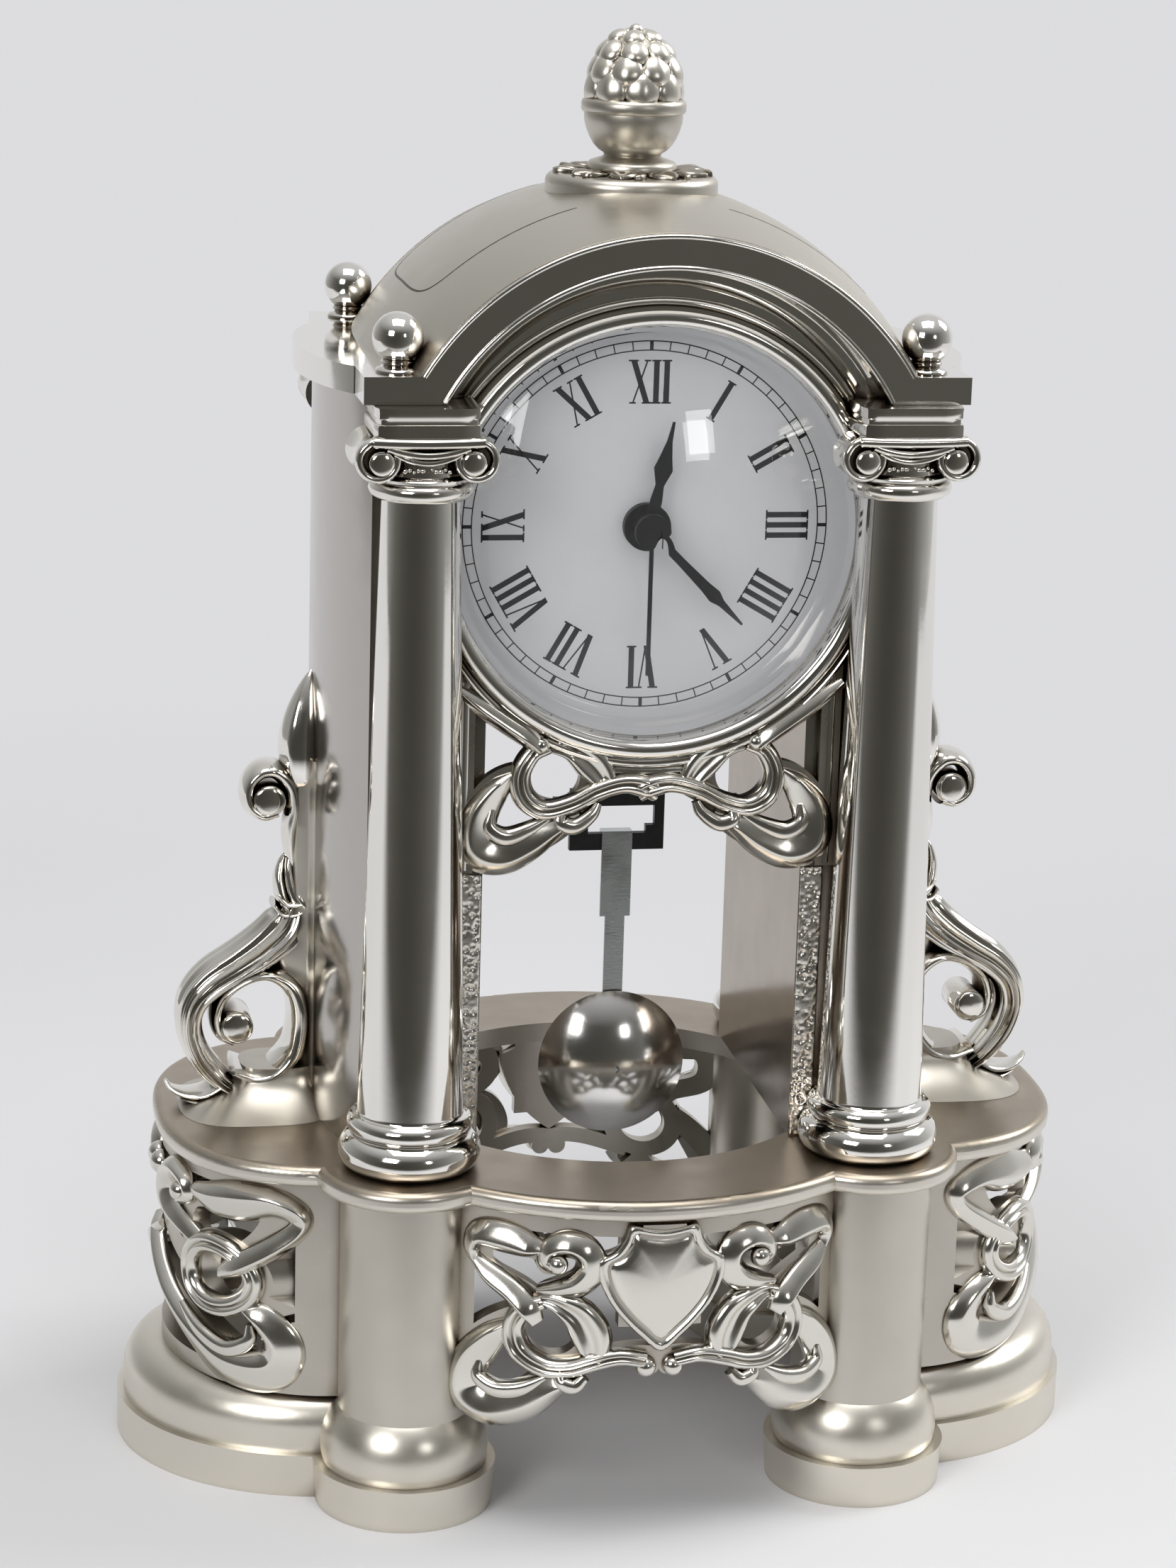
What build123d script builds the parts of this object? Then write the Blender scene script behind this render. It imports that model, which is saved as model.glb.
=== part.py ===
# Desk pendulum clock: a columned silver case on a pierced base, a round dial under
# an arched roof, and a battery movement that swings a pendulum between the columns.
# Millimetres, +Z up, front towards -Y, origin at the middle of the footprint.
import math
import os

from build123d import *

os.makedirs("parts", exist_ok=True)

# Corner posts: the common axis of feet, pedestals, columns and capitals
POST_X = 40.0
POST_Y = 34.3

# Plinths
FOOT_H = 7.5
FOOT_R = 15.3
FOOT_FLARE = 0.5
LOBE_X = 50.0
LOBE_A = 37.0
LOBE_B = 33.8
MOULD_H = 10.0
MOULD_STEP = 1.2
MOULD_ROUND = 6.0
PLINTH_BAND = 11.0

# Pedestals, pierced panels and aprons
PEDESTAL_R = 11.5
PEDESTAL_WALL = 3.0
PANEL_A = 29.0
PANEL_B = 31.0
PANEL_T = 2.6
APRON_R = 48.5
APRON_SHIFT = 6.5
APRON_T = 2.6
SHIELD_W = 20.2
SHIELD_H = 22.2
SHIELD_RISE = 1.3

# Deck
DECK_TOP = 61.0
DECK_T = 3.6
DECK_ROUND = 1.5
DECK_LOBE_X = 45.0
DECK_LOBE_A = 35.5
DECK_LOBE_B = 36.5
DECK_LOBE_POWER = 2.5
DECK_CORNER_R = 15.8
DECK_FRONT_R = 51.5
DECK_HOLE_R = 37.9

# Columns and capitals
TORUS_R = 12.1
TORUS_H = 6.0
RING_R = 10.7
RING_H = 3.4
SHAFT_FOOT_R = 8.9
SHAFT_TOP_R = 6.5
SHAFT_WALL = 2.0
CAPITAL_UP = 4.5
NECK_R = 8.5
NECK_H = 3.2
ECHINUS_R = 7.3
VOLUTE_X = 8.0
VOLUTE_R = 2.8
VOLUTE_L = 15.0
ABACUS = 16.4
CORNICE_UP = 20.2
CORNICE_H = 4.5

# Side walls
WALL_FACE = 28.0
WALL_A = 13.5
WALL_B = 33.0
WALL_SKIN = 3.0

# Cornice, arches and roof
CORNICE_A = 17.0
CORNICE_B = 34.0
BLOCK_X = 50.2
BLOCK_FRONT = 39.0
BLOCK_BACK = 27.0
ARCH_IN = 42.2
ARCH_STEP_IN = 38.4
ARCH_STEP_Y = 32.0
ROOF_CREST = 52.5
ROOF_CURVE = 155.0
ROOF_END = 33.0
ROOF_T = 2.5
BALL_X = 44.0
BALL_Y = 32.7
BALL_R = 4.2
BALL_UP = 5.5
BALL_NECK_R = 1.6

# Top finial
DISC_R = 14.7
DISC_UP = 1.2
DISC_H = 4.2
FINIAL_FOOT_R = 7.4
FINIAL_NECK_R = 5.3
CUP_R = 8.5
CUP_H = 12.5
SPIGOT_R = 2.0
CONE_R = 7.6
CONE_H = 12.8
TOTAL_H = 250.0

# Dial, bezel and glass
DIAL_DOWN = 3.0
DIAL_FACE = -21.0
DIAL_T = 0.8
DIAL_R = 36.0
DIAL_RIM_T = 0.9
BEZEL_LEDGE = 1.3
BEZEL_RIM = 1.6
BEZEL_FRONT = -32.0
BEZEL_LIP = 4.0
GLASS_T = 1.4
GLASS_RISE = 8.0
FASCIA_T = 2.0
FASCIA_X = 33.0
FASCIA_DROP = 19.9
FASCIA_STRIP = 29.6
REAR_DROP = 40.0
REAR_HOLE_R = 29.0

# Movement
CASE_W = 54.0
CASE_GAP = 0.5
CASE_UP = 31.9
CASE_DOWN = 26.0
CASE_WALL = 1.2
CASE_BACK = -1.7
COVER_T = 1.4
BRIDGE_BACK = -5.9
BRIDGE_T = 1.0
BUSH_R = 2.9
BUSH_FRONT = -23.3
NUT_R = 4.0
NUT_T = 1.8
RUN = 0.06
SEAT = 0.15

# Wheel train
TRAIN_M = 0.30
INPUT_M = 0.30
MOTION_M = 0.55
WHEEL_T = 0.8
PINION_T = 1.2
ARBOR_R = 0.5
CENTRE_TUBE_R = 1.05
HOUR_TUBE_R = 1.75
SECOND_TEETH = 60
SECOND_LEAVES = 8
THIRD_TEETH = 64
THIRD_LEAVES = 8
CENTRE_TEETH = 60
INTER_TEETH = 40
INTER_LEAVES = 10
ROTOR_LEAVES = 8
CANNON_LEAVES = 10
MOTION_TEETH = 30
MOTION_LEAVES = 8
HOUR_TEETH = 32
THIRD_ANGLE = 30.0
MOTION_ANGLE = -45.0
INTER_ANGLE = 180.0
ROTOR_ANGLE = 130.0
ROTOR_R = 2.6
KNOB_R = 4.5
KNOB_T = 3.0

# Hands
HOUR_HAND_L = 18.4
MINUTE_HAND_L = 22.8
SECOND_HAND_L = 24.4
HAND_T = 0.4
HOUR_HAND_Y = -24.0
MINUTE_HAND_Y = -25.1
SECOND_HAND_Y = -26.2
HOUR_AT = 11.25
MINUTE_AT = 135.0
SECOND_AT = 180.0

# Battery
CELL_R = 7.0
CELL_END = 2.0
CELL_RISE = 23.1
CELL_Y = -10.6
SHELF_T = 0.5

# Pendulum
PIVOT_DOWN = 16.0
PIVOT_R = 0.8
HANGER_BACK = -3.8
HANGER_T = 1.4
HANGER_W = 16.8
HANGER_DROP = 61.0
HANGER_H = 11.0
HANGER_BAR = 3.0
HANGER_SIDE = 1.75
WINDOW_H = 5.0
HANGER_ARM = 6.0
SWING = 7.0
STRIP_T = 0.5
STRIP_W = 5.4
STRIP_HEAD = 12.0
STRIP_LOW_W = 3.5
BOB_R = 13.1
BOB_UP = 7.2
BOB_T = 5.5

# Heights and places that follow from the sizes above
PLINTH_TOP = FOOT_H + MOULD_H
DECK_UNDER = DECK_TOP - DECK_T
CUP_TOP = TOTAL_H - CONE_H
DISC_TOP = CUP_TOP - CUP_H
ARCH_Z = DISC_TOP - DISC_UP - ROOF_CREST
CAPITAL_Z = ARCH_Z + CAPITAL_UP
CORNICE_Z = ARCH_Z + CORNICE_UP
CORNICE_TOP = CORNICE_Z + CORNICE_H
BALL_Z = CORNICE_TOP + BALL_UP
DIAL_Z = ARCH_Z - DIAL_DOWN
REAR_BOTTOM = DIAL_Z - REAR_DROP
WALL_IN = CASE_W / 2 + CASE_GAP
BEZEL_IN = DIAL_R - BEZEL_LEDGE
BEZEL_OUT = DIAL_R + BEZEL_RIM
FASCIA_TOP = DIAL_Z - BEZEL_OUT
FASCIA_BOTTOM = FASCIA_TOP - FASCIA_DROP
CASE_TOP = DIAL_Z + CASE_UP
CASE_BOTTOM = DIAL_Z - CASE_DOWN
CELL_L = CASE_W - 2 * CELL_END
PIVOT_Z = DIAL_Z - PIVOT_DOWN
HANGER_BOTTOM = DIAL_Z - HANGER_DROP
HANGER_TOP = HANGER_BOTTOM + HANGER_H
STRIP_STEP_Z = HANGER_BOTTOM - STRIP_HEAD
BOB_Z = DECK_TOP + BOB_UP
DIAL_BACK = DIAL_FACE + DIAL_T
CASE_FRONT = DIAL_BACK
CASE_IN_FRONT = CASE_FRONT + CASE_WALL
BRIDGE_FRONT = BRIDGE_BACK - BRIDGE_T
COVER_FRONT = CASE_BACK - COVER_T
CORNERS = {
    "front_left": (-POST_X, -POST_Y),
    "front_right": (POST_X, -POST_Y),
    "rear_left": (-POST_X, POST_Y),
    "rear_right": (POST_X, POST_Y),
}


def at_y(y):
    """Upright plane facing the front at depth y, X to the right and Z up."""
    return Plane(origin=(0, y, 0), x_dir=(1, 0, 0), z_dir=(0, -1, 0))


def upright(x, y):
    """Upright plane through a post axis, for turned profiles."""
    return Plane(origin=(x, y, 0), x_dir=(1, 0, 0), z_dir=(0, -1, 0))


def roof_r(y):
    """Outer radius of the cushion-shaped roof at depth y."""
    return ROOF_CREST - y * y / (2 * ROOF_CURVE)


def lobe_points(cx, a, b, power, count=48):
    """Points of a squared ellipse about (cx, 0)."""
    pts = []
    for k in range(count):
        t = 2 * math.pi * k / count
        c = math.cos(t)
        s = math.sin(t)
        x = cx + a * math.copysign(abs(c) ** (2 / power), c)
        y = b * math.copysign(abs(s) ** (2 / power), s)
        pts.append((x, y))
    return pts


def gear_points(teeth, module, tooth_at, tip, root):
    """Outline of a toothed wheel with a tooth at the angle tooth_at, in degrees."""
    r = teeth * module / 2
    half = 0.75 * math.pi / (2 * teeth)
    pts = []
    for k in range(teeth):
        a = math.radians(tooth_at) + 2 * math.pi * k / teeth
        for rad, da in (
            (r - root * module, -1.1 * half),
            (r + tip * module, -0.5 * half),
            (r + tip * module, 0.5 * half),
            (r - root * module, 1.1 * half),
        ):
            pts.append((rad * math.cos(a + da), rad * math.sin(a + da)))
    return pts


def polar(radius, angle):
    """Offset of the given length and direction, in the plane of the dial."""
    return (radius * math.cos(math.radians(angle)), radius * math.sin(math.radians(angle)))


def cap_mid(radius, rise):
    """Half-way point of a spherical cap's profile, as (depth below the apex, radius)."""
    ball = (radius * radius + rise * rise) / (2 * rise)
    half = math.asin(radius / ball) / 2
    return (ball * (1 - math.cos(half)), ball * math.sin(half))


def clock_dir(angle):
    """Direction of a hand that stands at this angle clockwise from twelve."""
    return 90.0 - angle


# Plinths: a lobed foot course under a quarter-round moulding, with a round foot at each corner
def foot_profile():
    Polyline(
        (0, 0),
        (FOOT_R, 0),
        (FOOT_R + FOOT_FLARE, FOOT_H),
        (FOOT_R - MOULD_STEP, FOOT_H),
    )
    ThreePointArc(
        (FOOT_R - MOULD_STEP, FOOT_H),
        (FOOT_R - 0.9, FOOT_H + 0.38 * MOULD_H),
        (PEDESTAL_R, PLINTH_TOP),
    )
    Polyline((PEDESTAL_R, PLINTH_TOP), (0, PLINTH_TOP), (0, 0))


with BuildPart() as left_plinth:
    with BuildSketch():
        with Locations((-LOBE_X, 0)):
            Ellipse(LOBE_A, LOBE_B)
    extrude(amount=FOOT_H)
    with BuildSketch(Plane.XY.offset(FOOT_H)):
        with Locations((-LOBE_X, 0)):
            Ellipse(LOBE_A - MOULD_STEP, LOBE_B - MOULD_STEP)
    extrude(amount=MOULD_H)
    fillet(left_plinth.faces().sort_by(Axis.Z)[-1].edges(), MOULD_ROUND)
    with BuildSketch():
        with Locations((-LOBE_X, 0)):
            Ellipse(LOBE_A - PLINTH_BAND, LOBE_B - PLINTH_BAND)
    extrude(amount=PLINTH_TOP, mode=Mode.SUBTRACT)
    split(bisect_by=Plane(origin=(-POST_X, 0, 0), z_dir=(-1, 0, 0)), keep=Keep.TOP)
    for side in (-1, 1):
        with BuildSketch(upright(-POST_X, side * POST_Y)):
            with BuildLine():
                foot_profile()
            make_face()
        revolve(axis=Axis((-POST_X, side * POST_Y, 0), (0, 0, 1)))
left_plinth.part.label = "left_plinth"
export_step(left_plinth.part, "parts/left_plinth.step")

with BuildPart() as right_plinth:
    mirror(left_plinth.part, about=Plane.YZ)
right_plinth.part.label = "right_plinth"
export_step(right_plinth.part, "parts/right_plinth.step")

# Pedestals: satin tubes between the plinths and the deck
pedestals = {}
for name, (px, py) in CORNERS.items():
    with BuildPart() as pedestal:
        with BuildSketch(Plane(origin=(px, py, PLINTH_TOP))):
            Circle(PEDESTAL_R)
            Circle(PEDESTAL_R - PEDESTAL_WALL, mode=Mode.SUBTRACT)
        extrude(amount=DECK_UNDER - PLINTH_TOP)
    pedestal.part.label = name + "_pedestal"
    export_step(pedestal.part, "parts/" + name + "_pedestal.step")
    pedestals[name] = pedestal.part

# Side panels: curved sheets pierced with ribbon scrolls
PANEL_BAND = 3.6
PANEL_EDGE_Y = 29.6
PANEL_RING_Y = 21.5
PANEL_RING_Z = 37.5
PANEL_RIBBON = 4.4
with BuildPart() as left_panel:
    with BuildSketch(Plane.XY.offset(PLINTH_TOP)):
        with Locations((-LOBE_X, 0)):
            Ellipse(PANEL_A, PANEL_B)
            Ellipse(PANEL_A - PANEL_T, PANEL_B - PANEL_T, mode=Mode.SUBTRACT)
        with Locations((-LOBE_X + LOBE_A / 2 + 2, 0)):
            Rectangle(LOBE_A, 2 * LOBE_B, mode=Mode.SUBTRACT)
    extrude(amount=DECK_UNDER - PLINTH_TOP)
    with BuildSketch(Plane.YZ.offset(-LOBE_X - PANEL_A - 1)):
        for side in (-1, 1):
            with Locations((side * PANEL_RING_Y, PANEL_RING_Z)):
                Ellipse(6.6, 7.8)
                Ellipse(3.4, 4.6, mode=Mode.SUBTRACT)
        for side in (-1, 1):
            with Locations((side * (PANEL_EDGE_Y + 2), (PLINTH_TOP + DECK_UNDER) / 2)):
                Rectangle(4, DECK_UNDER - PLINTH_TOP)
            with BuildLine():
                Spline((side * 29.2, 30.5), (side * 30.2, 24.0), (side * 27.0, 20.6), (side * 20.5, 24.0),
                       (side * 11.0, 29.6), (side * -1.5, 33.6))
            trace(line_width=PANEL_RIBBON)
            with BuildLine():
                Spline((side * 28.6, 31.5), (side * 26.0, 33.5), (side * 24.0, 34.5))
            trace(line_width=PANEL_RIBBON)
            with BuildLine():
                Spline((side * 22.6, 40.0), (side * 26.4, 43.5), (side * 28.4, 47.5), (side * 28.6, 53.0))
            trace(line_width=PANEL_RIBBON * 0.8)
            with BuildLine():
                Spline((side * 29.0, 52.0), (side * 22.0, 50.6), (side * 15.5, 49.5), (side * 13.6, 45.0),
                       (side * 17.0, 40.5))
            trace(line_width=PANEL_RIBBON)
            with BuildLine():
                Spline((side * 14.5, 50.0), (side * 7.0, 49.5), (side * -1.5, 43.8))
            trace(line_width=PANEL_RIBBON)
            with BuildLine():
                Spline((side * 16.5, 36.5), (side * 9.0, 40.0), (side * -1.5, 45.2))
            trace(line_width=PANEL_RIBBON)
        with Locations((0, PLINTH_TOP + 1.6)):
            Rectangle(2 * PANEL_B, 3.2)
        with Locations((0, DECK_UNDER - PANEL_BAND / 2)):
            Rectangle(2 * PANEL_B, PANEL_BAND)
    extrude(amount=PANEL_A + 2, mode=Mode.INTERSECT)
    with BuildSketch(Plane.XY.offset(PLINTH_TOP)):
        with Locations(CORNERS["front_left"], CORNERS["rear_left"]):
            Circle(PEDESTAL_R)
    extrude(amount=DECK_UNDER - PLINTH_TOP, mode=Mode.SUBTRACT)
left_panel.part.label = "left_panel"
export_step(left_panel.part, "parts/left_panel.step")

with BuildPart() as right_panel:
    mirror(left_panel.part, about=Plane.YZ)
right_panel.part.label = "right_panel"
export_step(right_panel.part, "parts/right_panel.step")

# Aprons: bowed sheets with ribbon scrolls around a blank shield
APRON_BAND = 3.4
APRON_EDGE_X = 30.0
APRON_RING_X = 17.6
APRON_RING_Z = 36.6
APRON_RIBBON = 4.4
SHIELD_TOP = DECK_UNDER - 0.8
APRON_FRONT = APRON_SHIFT + APRON_R
with BuildPart() as shield:
    with BuildSketch():
        with Locations((0, -APRON_SHIFT)):
            Circle(APRON_R + SHIELD_RISE)
            Circle(APRON_R - APRON_T, mode=Mode.SUBTRACT)
    extrude(amount=DECK_UNDER)
    with BuildSketch(at_y(-APRON_FRONT + 12)):
        with BuildLine():
            Spline((0, SHIELD_TOP - SHIELD_H), (0.62 * SHIELD_W / 2, SHIELD_TOP - 0.74 * SHIELD_H),
                   (SHIELD_W / 2, SHIELD_TOP - 0.28 * SHIELD_H))
            ThreePointArc((SHIELD_W / 2, SHIELD_TOP - 0.28 * SHIELD_H),
                          (0.62 * SHIELD_W / 2, SHIELD_TOP - 0.2 * SHIELD_H),
                          (0.36 * SHIELD_W / 2, SHIELD_TOP))
            Line((0.36 * SHIELD_W / 2, SHIELD_TOP), (0, SHIELD_TOP))
            mirror(about=Plane.YZ)
        make_face()
    extrude(amount=20, mode=Mode.INTERSECT)

with BuildPart() as front_apron:
    with BuildSketch(Plane.XY.offset(PLINTH_TOP)):
        with Locations((0, -APRON_SHIFT)):
            Circle(APRON_R)
            Circle(APRON_R - APRON_T, mode=Mode.SUBTRACT)
    extrude(amount=DECK_UNDER - PLINTH_TOP)
    with BuildSketch(at_y(-POST_Y + 4)):
        for side in (-1, 1):
            with Locations((side * APRON_RING_X, APRON_RING_Z)):
                Circle(7.2)
                Circle(4.2, mode=Mode.SUBTRACT)
        for side in (-1, 1):
            with Locations((side * (APRON_EDGE_X + 4), (APRON_RING_Z + DECK_UNDER) / 2 - 3)):
                Rectangle(8, DECK_UNDER - APRON_RING_Z + 6)
            with BuildLine():
                Spline((side * 23.5, 38.0), (side * 28.8, 33.6), (side * 31.6, 27.0), (side * 30.4, 22.0),
                       (side * 26.5, 21.3), (side * 21.5, 24.0), (side * 16.0, 29.5))
            trace(line_width=APRON_RIBBON)
            with BuildLine():
                Spline((side * 19.5, 40.5), (side * 24.0, 44.0), (side * 28.6, 47.0), (side * 28.2, 51.6),
                       (side * 23.0, 52.0), (side * 19.5, 51.2))
            trace(line_width=APRON_RIBBON * 0.8)
            with BuildLine():
                Spline((side * 19.8, 48.8), (side * 16.6, 51.6), (side * 12.6, 50.2), (side * 12.6, 46.4),
                       (side * 16.0, 44.0), (side * 19.0, 42.0))
            trace(line_width=APRON_RIBBON * 0.8)
            with Locations((side * 18.6, 48.6)):
                Circle(2.0)
            with BuildLine():
                Spline((side * 15.0, 30.6), (side * 10.6, 31.8), (side * 6.0, 32.9), (side * -1.0, 32.6))
            trace(line_width=3.0)
        with Locations((0, DECK_UNDER - APRON_BAND / 2)):
            Rectangle(2 * APRON_EDGE_X + 8, APRON_BAND)
        with Locations((-1.6, 31.0), (1.6, 31.0)):
            Circle(1.7)
        with Locations((0, 48.0)):
            Rectangle(SHIELD_W * 0.7, 20)
    extrude(amount=APRON_FRONT - POST_Y + 10, mode=Mode.INTERSECT)
    add(shield.part)
    with BuildSketch(Plane.XY.offset(PLINTH_TOP)):
        with Locations(CORNERS["front_left"], CORNERS["front_right"]):
            Circle(PEDESTAL_R)
    extrude(amount=DECK_UNDER - PLINTH_TOP, mode=Mode.SUBTRACT)
    with BuildSketch(Plane.XY.offset(PLINTH_TOP)):
        with Locations((-POST_X - APRON_R / 2, 0), (POST_X + APRON_R / 2, 0)):
            Rectangle(APRON_R, 4 * APRON_R)
        with Locations((0, APRON_R)):
            Rectangle(4 * APRON_R, 2 * APRON_R)
    extrude(amount=DECK_UNDER - PLINTH_TOP, mode=Mode.SUBTRACT)
front_apron.part.label = "front_apron"
export_step(front_apron.part, "parts/front_apron.step")

with BuildPart() as rear_apron:
    mirror(front_apron.part, about=Plane.XZ)
rear_apron.part.label = "rear_apron"
export_step(rear_apron.part, "parts/rear_apron.step")

# Deck: a lobed plate with a rounded edge and a large round hole for the pendulum
with BuildPart() as base_deck:
    with BuildSketch(Plane.XY.offset(DECK_UNDER)):
        for side in (-1, 1):
            with BuildLine():
                Spline(lobe_points(side * DECK_LOBE_X, DECK_LOBE_A, DECK_LOBE_B, DECK_LOBE_POWER),
                       periodic=True)
            make_face()
        with Locations((0, -APRON_SHIFT), (0, APRON_SHIFT)):
            Circle(DECK_FRONT_R)
        with Locations(*CORNERS.values()):
            Circle(DECK_CORNER_R)
        Circle(DECK_HOLE_R, mode=Mode.SUBTRACT)
    extrude(amount=DECK_T)
    deck_faces = base_deck.faces().sort_by(Axis.Z)
    fillet(deck_faces[0].outer_wire().edges() + deck_faces[-1].outer_wire().edges(), DECK_ROUND)
base_deck.part.label = "base_deck"
export_step(base_deck.part, "parts/base_deck.step")

# Columns: a double-ring base and a tapered, polished shaft
SHAFT_Z = DECK_TOP + TORUS_H + RING_H
columns = {}
for name, (px, py) in CORNERS.items():
    with BuildPart() as column:
        with BuildSketch(upright(px, py)):
            with BuildLine():
                Polyline((0, DECK_TOP), (TORUS_R - 1.6, DECK_TOP))
                ThreePointArc((TORUS_R - 1.6, DECK_TOP), (TORUS_R, DECK_TOP + TORUS_H / 2),
                              (TORUS_R - 1.6, DECK_TOP + TORUS_H))
                Line((TORUS_R - 1.6, DECK_TOP + TORUS_H), (RING_R - 0.8, DECK_TOP + TORUS_H))
                ThreePointArc((RING_R - 0.8, DECK_TOP + TORUS_H), (RING_R, DECK_TOP + TORUS_H + RING_H / 2),
                              (RING_R - 0.8, SHAFT_Z))
                Polyline((RING_R - 0.8, SHAFT_Z), (SHAFT_FOOT_R + 0.5, SHAFT_Z), (SHAFT_FOOT_R, SHAFT_Z + 4),
                         (SHAFT_TOP_R, CAPITAL_Z), (0, CAPITAL_Z), (0, DECK_TOP))
            make_face()
        revolve(axis=Axis((px, py, 0), (0, 0, 1)))
        columns[name] = column.part
        with BuildSketch(Plane(origin=(px, py, DECK_TOP))):
            Circle(SHAFT_TOP_R - SHAFT_WALL)
        extrude(amount=CAPITAL_Z - DECK_TOP - SHAFT_WALL, mode=Mode.SUBTRACT)
    column.part.label = name + "_column"
    export_step(column.part, "parts/" + name + "_column.step")

# Capitals: a necking ring, a round echinus between scroll rolls, and a square abacus
CUSHION_Z = CAPITAL_Z + NECK_H + 5.0
ABACUS_Z = CUSHION_Z + VOLUTE_R + 0.6
capitals = {}
for name, (px, py) in CORNERS.items():
    with BuildPart() as capital:
        with BuildSketch(upright(px, py)):
            with BuildLine():
                Polyline((0, CAPITAL_Z), (SHAFT_TOP_R + 0.4, CAPITAL_Z))
                ThreePointArc((SHAFT_TOP_R + 0.4, CAPITAL_Z), (NECK_R, CAPITAL_Z + NECK_H / 2),
                              (ECHINUS_R, CAPITAL_Z + NECK_H))
                Polyline((ECHINUS_R, CAPITAL_Z + NECK_H), (ECHINUS_R, ABACUS_Z), (0, ABACUS_Z),
                         (0, CAPITAL_Z))
            make_face()
        revolve(axis=Axis((px, py, 0), (0, 0, 1)))
        with BuildSketch(at_y(py + VOLUTE_L / 2)):
            with Locations((px - VOLUTE_X, CUSHION_Z), (px + VOLUTE_X, CUSHION_Z)):
                Circle(VOLUTE_R)
            with Locations((px, ABACUS_Z - 1.4)):
                Rectangle(2 * VOLUTE_X, 2.8)
        extrude(amount=VOLUTE_L)
        with BuildSketch(Plane(origin=(px, py, ABACUS_Z))):
            Rectangle(ABACUS - 2.0, ABACUS - 2.0)
        extrude(amount=CORNICE_Z - ABACUS_Z)
        with BuildSketch(Plane(origin=(px, py, CORNICE_Z - 2.2))):
            Rectangle(ABACUS, ABACUS)
        extrude(amount=2.2)
        with BuildSketch(Plane(origin=(px, math.copysign(WALL_FACE - ABACUS / 2, py), CAPITAL_Z))):
            Rectangle(2 * ABACUS, ABACUS)
        extrude(amount=CORNICE_Z - CAPITAL_Z, mode=Mode.SUBTRACT)
        with BuildSketch(at_y(-WALL_FACE)):
            with Locations((0, DIAL_Z)):
                Circle(DIAL_R + SEAT)
        extrude(amount=GLASS_T, mode=Mode.SUBTRACT)
    capital.part.label = name + "_capital"
    export_step(capital.part, "parts/" + name + "_capital.step")
    capitals[name] = capital.part

# Side walls: hollow masses, bowed outside and flat inside, notched for columns and dial drum
HOLLOW_Y = POST_Y - TORUS_R - 0.2
HOLLOW_OUT = -POST_X - WALL_A * math.sqrt(1 - (HOLLOW_Y / WALL_B) ** 2) + WALL_SKIN
HOLLOW_IN = -WALL_IN - WALL_SKIN
HOLLOW_BACK = -BEZEL_OUT - WALL_SKIN
with BuildPart() as left_wall:
    with BuildSketch(Plane.XY.offset(DECK_TOP)):
        with Locations((-POST_X, 0)):
            Ellipse(WALL_A, WALL_B)
        with Locations((-(POST_X + WALL_IN) / 2, 0)):
            Rectangle(POST_X - WALL_IN, 2 * WALL_B)
        with Locations((-WALL_IN + 20, 0)):
            Rectangle(40, 3 * WALL_B, mode=Mode.SUBTRACT)
        with Locations((-POST_X, WALL_FACE + 10), (-POST_X, -WALL_FACE - 10)):
            Rectangle(60, 20, mode=Mode.SUBTRACT)
    extrude(amount=CORNICE_Z - DECK_TOP)
    for name in ("front_left", "rear_left"):
        add(columns[name], mode=Mode.SUBTRACT)
        add(capitals[name], mode=Mode.SUBTRACT)
    with BuildSketch(at_y(0)):
        with Locations((0, DIAL_Z)):
            Circle(BEZEL_OUT + SEAT)
    extrude(amount=2 * WALL_FACE, mode=Mode.SUBTRACT)
    with BuildSketch(Plane.XY.offset(DECK_TOP)):
        with Locations(((HOLLOW_OUT + HOLLOW_BACK) / 2, 0)):
            Rectangle(HOLLOW_BACK - HOLLOW_OUT, 2 * HOLLOW_Y)
    extrude(amount=CORNICE_Z - DECK_TOP, mode=Mode.SUBTRACT)
    with BuildSketch(Plane.XY.offset(DECK_TOP)):
        with Locations(((HOLLOW_OUT + HOLLOW_IN) / 2, HOLLOW_Y / 2 + WALL_SKIN / 2)):
            Rectangle(HOLLOW_IN - HOLLOW_OUT, HOLLOW_Y - WALL_SKIN)
    extrude(amount=CORNICE_Z - DECK_TOP, mode=Mode.SUBTRACT)
    with BuildSketch(Plane.XY.offset(DECK_TOP)):
        with Locations(((HOLLOW_OUT + HOLLOW_IN) / 2, 0)):
            Rectangle(HOLLOW_IN - HOLLOW_OUT, 2 * HOLLOW_Y)
    extrude(amount=DIAL_Z - BEZEL_OUT - WALL_SKIN - DECK_TOP, mode=Mode.SUBTRACT)
left_wall.part.label = "left_wall"
export_step(left_wall.part, "parts/left_wall.step")

with BuildPart() as right_wall:
    mirror(left_wall.part, about=Plane.YZ)
right_wall.part.label = "right_wall"
export_step(right_wall.part, "parts/right_wall.step")

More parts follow.
